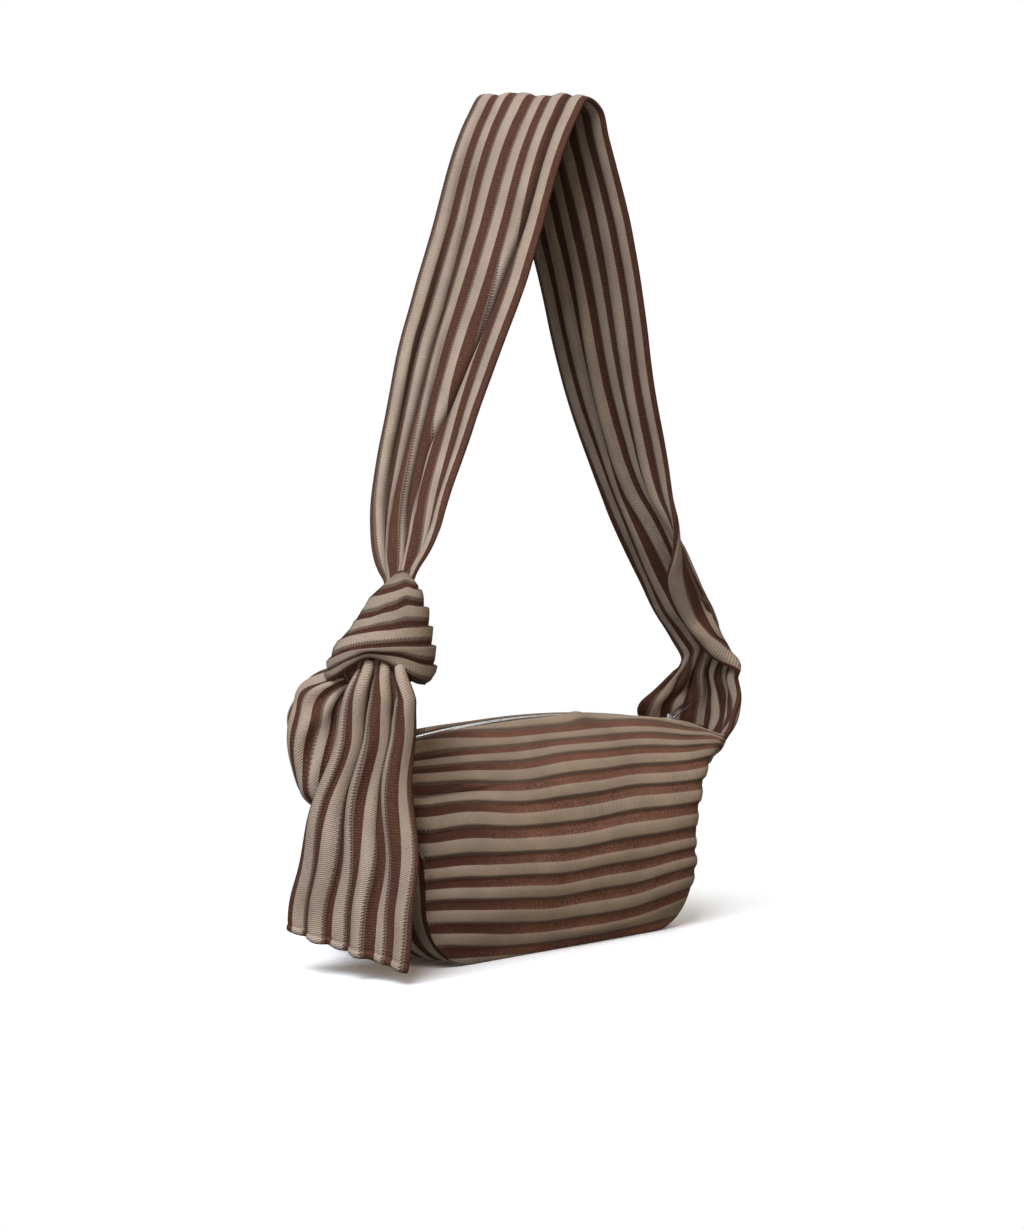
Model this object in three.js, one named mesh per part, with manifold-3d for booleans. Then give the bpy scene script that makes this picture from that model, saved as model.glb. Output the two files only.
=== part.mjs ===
// Knitted shoulder bag with a knotted strap.
// Two striped knit panels are sewn to one long knit band. The band runs under the base, up both ends
// and on into the strap. A metal zip closes the top.
// On the left the strap is tied in a knot with a hanging tail.
// Units are millimetres, +Z is up, +X is the bag's right end, and the front panel faces -Y.
// The origin is the middle of the flat base, on the surface that the bag stands on.
import * as THREE from "three";
import * as BufferGeometryUtils from "three/addons/utils/BufferGeometryUtils.js";
import Module from "manifold-3d";

const wasm = await Module();
wasm.setup();

// Knit
const RIB_PITCH = 16; // one light rib and one dark rib, across the stripes
const BAND_RIBS = 6; // ribs across the strap and the band
const STRAP_WIDTH = RIB_PITCH * BAND_RIBS - 4; // the rolled edges take up 4 mm
const PANEL_THICKNESS = 4;
const BAND_THICKNESS = 4;
const STRAP_THICKNESS = 6;
const SEAM_GAP = 0.3; // between two pieces sewn face to face

// Body outline in the XZ plane, and its depth in Y
const BASE_HALF_LENGTH = 92; // flat part of the base, each side of the middle
const CORNER_RADIUS_X = 43;
const CORNER_RADIUS_Z = 42;
const LEFT_FLARE = 22; // how far the top corner leans out past the side seam
const RIGHT_FLARE = 50;
const LEFT_END_X = -(BASE_HALF_LENGTH + CORNER_RADIUS_X + LEFT_FLARE);
const RIGHT_END_X = BASE_HALF_LENGTH + CORNER_RADIUS_X + RIGHT_FLARE;
const SEAM_TOP_Z = 121; // where the side seam ends and the strap leaves the body
const PANEL_CORNER_RISE = 7; // height of the panel's short end above the seam's end
const BASE_HALF_DEPTH = 47; // front seam to the middle, at the base
const TOP_HALF_DEPTH = 32; // the same where the strap leaves the body
const DEPTH_TAPER_Z = 60; // height where the seams start to draw together
const SIDE_SEAM_RISE = 36; // straight start of the side seam above the corner
const SIDE_SEAM_DRIFT = 1; // its lean over that stretch
const FLARE_START = 0.3; // share of the flare that is reached a little below the seam's end
const FLARE_START_DROP = 16;
const CORNER_FIRMNESS = 0.6; // share of the panel's thickness that is left at its pressed top corners
const CORNER_SHARPNESS = 14; // the higher, the closer the pressed part stays to the corner
const CORNER_FLATTENING = 5;
const PANEL_SWELL = 28.7; // how far the panels stand out past a straight line from zip to seam
const SWELL_TOP_POWER = 0.65; // the swell rises with this power of the way down from the zip
const SWELL_BASE_POWER = 0.95; // and falls with this power of the way left to the seam
const SWELL_PEAK = 0.356; // highest value of those two powers' product
const SWELL_END_POWER = 4; // the higher, the further the swell reaches along the bag
const BAND_CAMBER = 22; // outward bulge of the band where it becomes the strap
const CAMBER_START_Z = 5;
const SEAM_STEPS = 40; // stations along the whole seam
const PANEL_STEPS = 8; // rows of a panel, from the zip to the seam
const BAND_STEPS = 6; // columns across the band

// Zip: it lies along a shallow arc, highest near the middle of the bag
const ZIP_CROWN_X = 11;
const ZIP_RISE = 28; // top of the arc above the seam's end
const ZIP_ARC_RADIUS = 925;
const ZIP_ARC_CENTRE_Z = SEAM_TOP_Z + ZIP_RISE - ZIP_ARC_RADIUS;
const ZIP_LEFT_INSET = 28; // last tooth to the body's corner
const ZIP_RIGHT_INSET = 10;
const ZIP_LEFT = LEFT_END_X + ZIP_LEFT_INSET;
const ZIP_RIGHT = RIGHT_END_X - ZIP_RIGHT_INSET;
const TOOTH_PITCH = 3;
const TOOTH_LENGTH = 1.7;
const TOOTH_HEIGHT = 2.4;
const TEETH_SLOT = 1.6; // clear slot along the middle, where the slider's post runs
const TEETH_REACH = 3; // from the middle to the outer side of a row of teeth
const TEETH_BEAD = 0.8; // width of the bead that a row of teeth stands on
const SINK = 0.2; // how far one part of a casting runs into the next
const ARC_STEP = 12; // longest straight stretch in a piece bent along the zip
const STOP_LENGTH = 2.4;
const TAPE_THICKNESS = 1;
const TAPE_SEAM = 0.3; // tape edge to the panel's top edge
const TAPE_OVERRUN = 6; // tape past the last tooth, at each end
const PANEL_TOP_EDGE = 13; // panel's top edge, from the middle
const TAPE_EDGE = PANEL_TOP_EDGE - TAPE_SEAM;
const TAB_LENGTH = 12;
const TAB_THICKNESS = 2;
const SLIDER_LENGTH = 10;
const SLIDER_WIDTH = 9.2;
const SLIDER_PLATE = 1;
const SLIDER_LIP = 0.9;
const SLIDER_CLEARANCE = 0.4;
const POST_CLEARANCE = 0.3;
const POST_LENGTH = 4;
const SLIDER_STOP_GAP = 2;
const SLIDER_REST_X = ZIP_RIGHT - SLIDER_LENGTH / 2 - SLIDER_STOP_GAP; // closed, against the top stops
const BRIDGE_LENGTH = 7.8;
const BRIDGE_WIDTH = 1.8;
const BRIDGE_CLEAR = 2.2; // clear height under the bridge
const BRIDGE_THICKNESS = 0.9;
const PULL_LENGTH = 20;
const PULL_WIDTH = 6.4;
const PULL_THICKNESS = 1.2;
const PULL_ARM = 1;
const PULL_COLUMNS = 12;
const PULL_EYE_GAP = 1.6; // from the bridge to the flat part of the pull
const PULL_TILT = 35; // degrees above the zip, leaning towards the strap

// Lining
const LINING_GAP = 0.6;
const LINING_REACH = 0.85; // share of the seam's length, so it stops short of the body's top corners
const LINING_THICKNESS = 1.2;

// Strap: its two gathered feet, which it swings on, its highest point, and the line between them.
// Each leg's line is given by points at shares of the way from foot to crown: up, along X, and across Y.
const LEFT_FOOT_RADIUS = 15;
const RIGHT_FOOT_RADIUS = 18;
const FOOT_THICKNESS = 14;
const FOOT_CLEARANCE = 0.6;
const ROOT_RISE = 42; // right root's height above the end of the seam
const ROOT_LEAN = 18; // how far its edges lean out on the way
const ROOT_TOP_CAMBER = 7; // its bulge where it meets the foot
const ROOT_SEAT_RISE = 5; // how far its last row is drawn up to meet the foot
const ROOT_EDGE_LEAN = 0.65; // share of the lean at the edge's ends, and two shares of its rise
const ROOT_EDGE_RISES = [0.14, 0.5];
const ROOT_STEPS = 8;
const ROOT_SIDE_GAP = 4 * SEAM_GAP; // root's edge inside the panels' corners
const FOOT_MARGIN = 1; // root's last row wider than the foot on it
const LEFT_FOOT_FROM_CORNER = new THREE.Vector3(10, -33, 137);
const RIGHT_FOOT_LEAN = 13; // right foot outside the body's corner
const LEFT_FOOT = new THREE.Vector3(LEFT_END_X, 0, SEAM_TOP_Z).add(LEFT_FOOT_FROM_CORNER);
const RIGHT_FOOT = new THREE.Vector3(
  RIGHT_END_X + RIGHT_FOOT_LEAN,
  0,
  SEAM_TOP_Z + ROOT_RISE + ROOT_SEAT_RISE + RIGHT_FOOT_RADIUS + FOOT_CLEARANCE
);
const FOOT_COLUMNS = 20;
const STRAP_STEPS = 48;
const STRAP_COLUMNS = 4;
const CROWN_X = 25;
const CROWN_Z = 563;
const LEFT_LEG = [
  [0.09, 0.15, 0.48],
  [0.185, 0.267, 0.76],
  [0.285, 0.36, 0.91],
  [0.495, 0.523, 1],
  [0.695, 0.674, 1],
  [0.918, 0.843, 1],
  [0.976, 0.9, 1],
];
const RIGHT_LEG = [
  [0.104, 0.156, 1],
  [0.226, 0.329, 1],
  [0.338, 0.439, 1],
  [0.473, 0.555, 1],
  [0.721, 0.682, 1],
  [0.928, 0.844, 1],
  [0.976, 0.902, 1],
];
// How the strap spreads: distance from the foot, and the share of its full width there.
const LEFT_SPREAD = [
  [0, 0.31],
  [28, 0.65],
  [95, 0.87],
  [160, 1],
];
const RIGHT_SPREAD = [
  [0, 0.38],
  [30, 0.57],
  [105, 0.63],
  [150, 0.7],
  [205, 0.87],
  [290, 1],
];

// Knot and tail
const KNOT_RISE = 61; // knot's lower edge above the end of the seam
const KNOT_FROM_CORNER = new THREE.Vector3(-1, -34, KNOT_RISE);
const KNOT_LEAN = 17; // how far the top of the knot leans towards the strap
const KNOT_LEAN_START = 0.35; // share of the knot's height where it starts to lean
const KNOT_WALL = 8;
const CORE_CLEARANCE = 0.42;
const KNOT_COLUMNS = 20;
const KNOT_ACROSS = new THREE.Vector3(0.669, -0.743, 0).normalize(); // along the knot's wide side
const KNOT_SECTIONS = [
  // share of the height, half width, half depth
  [0, 33, 27],
  [0.15, 34, 28],
  [0.45, 30, 26],
  [0.75, 21, 19],
  [1, 15, 14],
];
const KNOT_BASE = new THREE.Vector3(LEFT_END_X, 0, SEAM_TOP_Z).add(KNOT_FROM_CORNER);
const TAIL_THICKNESS = 7;
const TAIL_TOP_WIDTH = 48;
const TAIL_CLEARANCE = 0.5; // tail's rolled top to the knot above it
const TAIL_FLOOR_GAP = 8; // lowest point of the tail, above the floor
const TAIL_HEM_HEIGHT = 6;
const TAIL_SHIFT = -22; // how far the tail's foot swings back towards the body's middle, across
const TAIL_STANDOFF = 3; // how far the tail's foot stands out from its top
const TAIL_BOW = 3;
const TAIL_SPREAD_END = 0.95; // share of its length where it has its full width
const TAIL_STEPS = 14;
const ROLL_INSET = 0.2; // its rolled top ends this far inside its edges
const ROLL_COLUMNS = 12;
const TAIL_FROM_KNOT = new THREE.Vector3(-20, -14, -(TAIL_THICKNESS / 2 + TAIL_CLEARANCE));
const TAIL_HINGE = KNOT_BASE.clone().add(TAIL_FROM_KNOT);
const TAIL_TOP_ACROSS = new THREE.Vector3(0.5, -0.866, 0).normalize();
const TAIL_FOOT_ACROSS = new THREE.Vector3(0.168, -0.986, 0).normalize();

const COLOURS = {
  knit: new THREE.Color(0.47, 0.38, 0.32),
  knitDark: new THREE.Color(0.25, 0.15, 0.12),
  lining: new THREE.Color(0.16, 0.12, 0.1),
  tape: new THREE.Color(0.2, 0.14, 0.12),
  metal: new THREE.Color(0.75, 0.74, 0.72),
};
const cloth = (color, roughness) => new THREE.MeshStandardMaterial({ color, roughness, metalness: 0 });
const knitMaterial = () => cloth(COLOURS.knit, 0.9);
const darkKnitMaterial = () => cloth(COLOURS.knitDark, 0.9);
const liningMaterial = () => cloth(COLOURS.lining, 0.8);
const tapeMaterial = () => cloth(COLOURS.tape, 0.85);
const metalMaterial = () =>
  new THREE.MeshStandardMaterial({ color: COLOURS.metal, roughness: 0.3, metalness: 1 });

const clamp01 = (value) => Math.min(1, Math.max(0, value));
const lerp = (a, b, share) => a + (b - a) * share;
const smooth = (value, low, high) => {
  const share = clamp01((value - low) / (high - low));
  return share * share * (3 - 2 * share);
};
const spread = (count, low = 0, high = 1) =>
  Array.from({ length: count + 1 }, (unused, i) => low + ((high - low) * i) / count);

// Value at a position in a list of [position, value] pairs, straight between them.
function alongList(list, position) {
  const next = list.findIndex(([at]) => at > position);
  if (next === -1) {
    return list[list.length - 1][1];
  }
  if (next === 0) {
    return list[0][1];
  }
  const [lowAt, low] = list[next - 1];
  const [highAt, high] = list[next];
  return lerp(low, high, (position - lowAt) / (highAt - lowAt));
}

// Makes a closed BufferGeometry from points and triangles, with its faces pointing out.
function closedGeometry(points, triangles) {
  let volume = 0;
  const cross = new THREE.Vector3();
  for (const [a, b, c] of triangles) {
    volume += points[a].dot(cross.crossVectors(points[b], points[c]));
  }
  const outward = volume > 0 ? triangles : triangles.map(([a, b, c]) => [a, c, b]);
  const geometry = new THREE.BufferGeometry();
  const numbers = points.flatMap((p) => [p.x, p.y, p.z]);
  geometry.setAttribute("position", new THREE.Float32BufferAttribute(numbers, 3));
  geometry.setIndex(outward.flat());
  geometry.computeVertexNormals();
  return geometry;
}

// A sheet with two faces given as grids of points, stitched together along its four edges.
function sheet(outer, inner) {
  const rows = outer.length;
  const columns = outer[0].length;
  const points = [...outer.flat(), ...inner.flat()];
  const triangles = [];
  const front = (i, j) => i * columns + j;
  const back = (i, j) => rows * columns + i * columns + j;
  const quad = (a, b, c, d) => triangles.push([a, b, c], [a, c, d]);
  for (let i = 0; i < rows - 1; i++) {
    for (let j = 0; j < columns - 1; j++) {
      quad(front(i, j), front(i + 1, j), front(i + 1, j + 1), front(i, j + 1));
      quad(back(i, j), back(i, j + 1), back(i + 1, j + 1), back(i + 1, j));
    }
  }
  for (let i = 0; i < rows - 1; i++) {
    quad(front(i, 0), back(i, 0), back(i + 1, 0), front(i + 1, 0));
    quad(front(i, columns - 1), front(i + 1, columns - 1), back(i + 1, columns - 1), back(i, columns - 1));
  }
  for (let j = 0; j < columns - 1; j++) {
    quad(front(0, j), front(0, j + 1), back(0, j + 1), back(0, j));
    quad(front(rows - 1, j), back(rows - 1, j), back(rows - 1, j + 1), front(rows - 1, j + 1));
  }
  return closedGeometry(points, triangles);
}

// A solid through rings of points, closed by a fan at each end.
function loft(rings) {
  const count = rings[0].length;
  const points = rings.flat();
  const triangles = [];
  for (let i = 0; i < rings.length - 1; i++) {
    for (let j = 0; j < count; j++) {
      const next = (j + 1) % count;
      const a = i * count + j;
      const b = i * count + next;
      triangles.push([a, b, b + count], [a, b + count, a + count]);
    }
  }
  const centreOf = (ring) => ring.reduce((sum, p) => sum.add(p), new THREE.Vector3()).divideScalar(count);
  const first = points.push(centreOf(rings[0])) - 1;
  const last = points.push(centreOf(rings[rings.length - 1])) - 1;
  const offset = (rings.length - 1) * count;
  for (let j = 0; j < count; j++) {
    const next = (j + 1) % count;
    triangles.push([first, next, j], [last, offset + j, offset + next]);
  }
  return closedGeometry(points, triangles);
}

// Boolean joins and cuts, on closed geometries.
function toManifold(geometry) {
  const bare = geometry.clone();
  bare.deleteAttribute("normal");
  bare.deleteAttribute("uv");
  const merged = BufferGeometryUtils.mergeVertices(bare, 1e-4);
  return new wasm.Manifold(
    new wasm.Mesh({
      numProp: 3,
      vertProperties: new Float32Array(merged.attributes.position.array),
      triVerts: new Uint32Array(merged.index.array),
    })
  );
}

function fromManifold(solid) {
  const mesh = solid.getMesh();
  const geometry = new THREE.BufferGeometry();
  geometry.setAttribute("position", new THREE.BufferAttribute(new Float32Array(mesh.vertProperties), 3));
  geometry.setIndex(new THREE.BufferAttribute(new Uint32Array(mesh.triVerts), 1));
  geometry.computeVertexNormals();
  return geometry;
}

const joined = (geometries) => fromManifold(wasm.Manifold.union(geometries.map(toManifold)));

// The band's edge on one side of the body, in the XZ plane (x here is the distance from the middle):
// along the base, round the corner and up the side seam.
function seamCurve(flare) {
  const sideX = BASE_HALF_LENGTH + CORNER_RADIUS_X;
  const curve = new THREE.CurvePath();
  const base = new THREE.LineCurve(new THREE.Vector2(0, 0), new THREE.Vector2(BASE_HALF_LENGTH, 0));
  const corner = new THREE.EllipseCurve(
    BASE_HALF_LENGTH,
    CORNER_RADIUS_Z,
    CORNER_RADIUS_X,
    CORNER_RADIUS_Z,
    -Math.PI / 2,
    0
  );
  const side = new THREE.CubicBezierCurve(
    new THREE.Vector2(sideX, CORNER_RADIUS_Z),
    new THREE.Vector2(sideX + SIDE_SEAM_DRIFT, CORNER_RADIUS_Z + SIDE_SEAM_RISE),
    new THREE.Vector2(sideX + flare * FLARE_START, SEAM_TOP_Z - FLARE_START_DROP),
    new THREE.Vector2(sideX + flare, SEAM_TOP_Z)
  );
  curve.add(base);
  curve.add(corner);
  curve.add(side);
  return curve;
}
const SEAMS = { left: seamCurve(LEFT_FLARE), right: seamCurve(RIGHT_FLARE) };

// Point on the seam at share s from -1 (top of the left end) through 0 (middle of the base) to 1,
// moved outwards by a distance, with the outward direction there.
function seamAt(s, outwards = 0) {
  const side = s < 0 ? -1 : 1;
  const curve = s < 0 ? SEAMS.left : SEAMS.right;
  const point = curve.getPointAt(Math.abs(s));
  const tangent = curve.getTangentAt(Math.abs(s));
  const outward = new THREE.Vector2(side * tangent.y, -tangent.x);
  return {
    x: side * point.x + outward.x * outwards,
    z: point.y + outward.y * outwards,
    outward,
    halfDepth: lerp(BASE_HALF_DEPTH, TOP_HALF_DEPTH, smooth(point.y, DEPTH_TAPER_Z, SEAM_TOP_Z)),
    camber: BAND_CAMBER * smooth(point.y, CAMBER_START_Z, SEAM_TOP_Z),
  };
}

// Point beside the zip: along its arc, across it, and square to it.
function zipPoint(along, across, height) {
  const angle = (along - ZIP_CROWN_X) / ZIP_ARC_RADIUS;
  const radius = ZIP_ARC_RADIUS + height;
  return new THREE.Vector3(
    ZIP_CROWN_X + radius * Math.sin(angle),
    across,
    ZIP_ARC_CENTRE_Z + radius * Math.cos(angle)
  );
}

// Point on a panel's top edge: along the zip, then down to the corner where the strap leaves.
function topEdgeAt(s) {
  const side = s < 0 ? -1 : 1;
  const corner = Math.abs(seamAt(side).x);
  const zipEnd = Math.abs(s < 0 ? ZIP_LEFT : ZIP_RIGHT);
  const fall = smooth(corner * Math.abs(s), zipEnd - STOP_LENGTH, corner);
  const onArc = zipPoint(corner * s, 0, 0);
  return {
    x: corner * s,
    z: lerp(onArc.z, SEAM_TOP_Z + PANEL_CORNER_RISE, fall),
    halfDepth: lerp(PANEL_TOP_EDGE, TOP_HALF_DEPTH, fall),
  };
}

// Point on a panel: s runs along the bag, t down from the zip (0) to the seam (1).
// The inset moves it inwards, square to the seam along the sides and straight in at the top corners.
// side is -1 at the front and 1 at the back.
function panelPoint(s, t, inset, side) {
  const cornerShare = Math.pow(Math.abs(s), CORNER_SHARPNESS);
  const depth = inset * (1 - cornerShare);
  const cornerLift = cornerShare * CORNER_FIRMNESS * (PANEL_THICKNESS - inset);
  const top = topEdgeAt(s);
  const seam = seamAt(s, -depth);
  const reach = 1 - Math.pow(1 - t, 1 + CORNER_FLATTENING * cornerShare);
  const hump = (Math.pow(t, SWELL_TOP_POWER) * Math.pow(1 - t, SWELL_BASE_POWER)) / SWELL_PEAK;
  const swell = Math.max(0, PANEL_SWELL * (1 - Math.pow(Math.abs(s), SWELL_END_POWER)) - inset);
  return new THREE.Vector3(
    lerp(top.x, seam.x, t),
    side * (lerp(top.halfDepth, seam.halfDepth, reach) + swell * hump + cornerLift),
    lerp(top.z - depth, seam.z, t)
  );
}

// Stations along the seam that every piece of the body shares, so that neighbours stay parallel.
const SEAM_STATIONS = spread(SEAM_STEPS, -1, 1);
const stationsWithin = (reach) => SEAM_STATIONS.filter((s) => Math.abs(s) <= reach);

function panelSheet(side, fromInset, toInset, reach) {
  const grid = (inset) =>
    stationsWithin(reach).map((s) => spread(PANEL_STEPS).map((t) => panelPoint(s, t, inset, side)));
  return sheet(grid(fromInset), grid(toInset));
}

const frontPanel = () => panelSheet(-1, 0, PANEL_THICKNESS, 1);
const backPanel = () => panelSheet(1, 0, PANEL_THICKNESS, 1);

// The band under the base and up both ends, as far as the strap.
function bandSheet(fromInset, toInset, reach, edgeGap) {
  const grid = (inset) =>
    stationsWithin(reach).map((s) =>
      spread(BAND_STEPS, -1, 1).map((v) => {
        const shape = seamAt(s);
        const point = seamAt(s, shape.camber * (1 - v * v) - inset);
        return new THREE.Vector3(point.x, v * (shape.halfDepth - edgeGap), point.z);
      })
    );
  return sheet(grid(fromInset), grid(toInset));
}

const gussetBand = () => bandSheet(0, BAND_THICKNESS, 1, SEAM_GAP);

// The lining hangs inside the panels and the band, sewn in at the zip.
const LINING_OUTER = PANEL_THICKNESS + LINING_GAP;
const LINING_INNER = LINING_OUTER + LINING_THICKNESS;
const liningFront = () => panelSheet(-1, LINING_OUTER, LINING_INNER, LINING_REACH);
const liningBack = () => panelSheet(1, LINING_OUTER, LINING_INNER, LINING_REACH);
const liningGusset = () => bandSheet(LINING_OUTER, LINING_INNER, LINING_REACH, 2 * SEAM_GAP);

// The hinge line of the strap, and the directions square to it.
const HINGE_AXIS = RIGHT_FOOT.clone().sub(LEFT_FOOT).normalize();
const HINGE_UP = new THREE.Vector3(0, 0, 1).addScaledVector(HINGE_AXIS, -HINGE_AXIS.z).normalize();

// One ring of a flat band: a middle, a direction across, a direction square to the face, half its width,
// its thickness and how far its middle bows out.
function bandRing(middle, across, facing, halfWidth, thickness, bow = 0, columns = 6) {
  const side = (offset, from, to) =>
    spread(columns, from, to).map((v) =>
      middle
        .clone()
        .addScaledVector(across, v * halfWidth)
        .addScaledVector(facing, bow * (1 - v * v) + offset)
    );
  return [...side(thickness / 2, -1, 1), ...side(-thickness / 2, 1, -1)];
}

// The right root of the strap: the band goes on from the body as a trough and draws in to the right foot.
function strapRootRight() {
  const start = new THREE.Vector3(RIGHT_END_X, 0, SEAM_TOP_Z + SEAM_GAP);
  const edgeLine = new THREE.CubicBezierCurve3(
    start,
    start.clone().add(new THREE.Vector3(ROOT_LEAN * ROOT_EDGE_LEAN, 0, ROOT_RISE * ROOT_EDGE_RISES[0])),
    start.clone().add(new THREE.Vector3(ROOT_LEAN, 0, ROOT_RISE * ROOT_EDGE_RISES[1])),
    start.clone().add(new THREE.Vector3(ROOT_LEAN * ROOT_EDGE_LEAN, 0, ROOT_RISE))
  );
  const seatHeight = -(RIGHT_FOOT_RADIUS + FOOT_CLEARANCE);
  const grid = (inset) =>
    spread(ROOT_STEPS).map((share) => {
      const edge = edgeLine.getPoint(share);
      const tangent = edgeLine.getTangent(share);
      const bandEnd = seamAt(1).outward;
      const outward =
        share === 0 ? new THREE.Vector3(bandEnd.x, 0, bandEnd.y) : new THREE.Vector3(tangent.z, 0, -tangent.x);
      const topWidth = RIGHT_FOOT_RADIUS + FOOT_MARGIN;
      const halfWidth = lerp(TOP_HALF_DEPTH - ROOT_SIDE_GAP, topWidth, smooth(share, 0, 1));
      return spread(ROOT_STEPS, -1, 1).map((v) => {
        const out = lerp(BAND_CAMBER, ROOT_TOP_CAMBER, share) * (1 - v * v) - inset;
        const point = new THREE.Vector3(0, v * halfWidth, 0).add(edge).addScaledVector(outward, out);
        const height = point.clone().sub(RIGHT_FOOT).dot(HINGE_UP);
        const lift = share === 1 ? seatHeight - height : Math.min(0, seatHeight - height);
        return point.addScaledVector(HINGE_UP, lift);
      });
    });
  return sheet(grid(0), grid(BAND_THICKNESS));
}

// One ring of the knot, at a share of its height. Its flat top is just clear of the strap's left foot.
const FOOT_LOW_POINT =
  (LEFT_FOOT_RADIUS + FOOT_CLEARANCE) * HINGE_UP.z + (FOOT_THICKNESS / 2) * Math.abs(HINGE_AXIS.z);
const KNOT_TOP_Z = LEFT_FOOT.z - FOOT_LOW_POINT;
const KNOT_TOWARDS_TAIL = new THREE.Vector3(KNOT_ACROSS.y, -KNOT_ACROSS.x, 0);
function knotRing(share, halfWidth, halfDepth, count = KNOT_COLUMNS) {
  const middle = KNOT_BASE.clone().addScaledVector(KNOT_ACROSS, KNOT_LEAN * (share - KNOT_LEAN_START));
  middle.z = lerp(KNOT_BASE.z, KNOT_TOP_Z, share);
  return spread(count - 1, 0, (2 * Math.PI * (count - 1)) / count).map((angle) =>
    middle
      .clone()
      .addScaledVector(KNOT_ACROSS, halfWidth * Math.cos(angle))
      .addScaledVector(KNOT_TOWARDS_TAIL, halfDepth * Math.sin(angle))
  );
}

// The outer turn of the knot, a sleeve round the gathered core.
function knotWrap() {
  const ringsAt = (inset) =>
    KNOT_SECTIONS.map(([share, width, depth]) => knotRing(share, width - inset, depth - inset));
  const loop = [...ringsAt(0), ...ringsAt(KNOT_WALL).reverse()];
  const count = loop[0].length;
  const points = loop.flat();
  const triangles = [];
  for (let i = 0; i < loop.length; i++) {
    const nextRow = (i + 1) % loop.length;
    for (let j = 0; j < count; j++) {
      const next = (j + 1) % count;
      triangles.push([i * count + j, i * count + next, nextRow * count + next]);
      triangles.push([i * count + j, nextRow * count + next, nextRow * count + j]);
    }
  }
  return closedGeometry(points, triangles);
}

// The gathered cloth inside the knot.
function knotCore() {
  const inset = KNOT_WALL + CORE_CLEARANCE;
  return loft(KNOT_SECTIONS.map(([share, width, depth]) => knotRing(share, width - inset, depth - inset)));
}

// The left root of the strap: the band goes on from the body, bows outwards and turns into the knot's side.
// Each row is the middle of the band's two edges, measured from the body's corner,
// then its half width and its bow.
const LEFT_ROOT_ROWS = [
  [0, 0, SEAM_GAP, TOP_HALF_DEPTH - ROOT_SIDE_GAP, BAND_CAMBER],
  [-6, 2, 15, 28, 21],
  [-12, 6, 31, 28, 22],
  [-16, 10, 45, 24, 18],
  [-18, 12, 55, 17, 12],
  [-17, 15.2, 63, 12, 8],
  [-16, 11.3, 68, 10, 6],
];
function strapRootLeft() {
  const middles = LEFT_ROOT_ROWS.map(([x, y, z]) => new THREE.Vector3(LEFT_END_X + x, y, SEAM_TOP_Z + z));
  const grid = (inset) =>
    LEFT_ROOT_ROWS.map(([, , , halfWidth, bow], i) => {
      const before = middles[Math.max(0, i - 1)];
      const after = middles[Math.min(middles.length - 1, i + 1)];
      const run = after.clone().sub(before).setY(0).normalize();
      const outward = i === 0 ? seamAt(-1).outward : new THREE.Vector2(-run.z, run.x);
      return spread(ROOT_STEPS, -1, 1).map((v) => {
        const out = bow * (1 - v * v) - inset;
        const offset = new THREE.Vector3(outward.x * out, v * halfWidth, outward.y * out);
        return middles[i].clone().add(offset);
      });
    });
  return sheet(grid(0), grid(BAND_THICKNESS));
}

// The gathered foot of the strap: a short drum on the hinge line, so that it turns over its seat.
function strapFoot(middle, radius) {
  const drum = new THREE.CylinderGeometry(radius, radius, FOOT_THICKNESS, FOOT_COLUMNS);
  const turn = new THREE.Quaternion().setFromUnitVectors(new THREE.Vector3(0, 1, 0), HINGE_AXIS);
  return drum.applyQuaternion(turn).translate(middle.x, middle.y, middle.z);
}

// The strap from foot to foot: flat over the shoulder and gathered towards both feet.
function longStrap() {
  const crown = new THREE.Vector3(CROWN_X, 0, CROWN_Z);
  const legPoints = (foot, shares) =>
    shares.map(([up, along, over]) => {
      const [x, y] = [lerp(foot.x, crown.x, along), lerp(foot.y, crown.y, over)];
      return new THREE.Vector3(x, y, lerp(foot.z, crown.z, up));
    });
  const route = new THREE.CatmullRomCurve3(
    [
      LEFT_FOOT,
      ...legPoints(LEFT_FOOT, LEFT_LEG),
      crown,
      ...legPoints(RIGHT_FOOT, RIGHT_LEG).reverse(),
      RIGHT_FOOT,
    ],
    false,
    "centripetal"
  );
  const length = route.getLength();
  const rings = spread(STRAP_STEPS).map((share) => {
    const middle = route.getPointAt(share);
    const tangent = route.getTangentAt(share);
    const fromFoot = Math.min(share, 1 - share) * length;
    const open = alongList(share < 0.5 ? LEFT_SPREAD : RIGHT_SPREAD, fromFoot);
    const thickness = lerp(FOOT_THICKNESS, STRAP_THICKNESS, open);
    const across = new THREE.Vector3(0, 1, 0).addScaledVector(tangent, -tangent.y).normalize();
    const facing = new THREE.Vector3().crossVectors(across, tangent).normalize();
    return bandRing(middle, across, facing, (open * STRAP_WIDTH) / 2, thickness, 0, STRAP_COLUMNS);
  });
  return joined([
    loft(rings),
    strapFoot(LEFT_FOOT, LEFT_FOOT_RADIUS),
    strapFoot(RIGHT_FOOT, RIGHT_FOOT_RADIUS),
  ]);
}

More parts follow.
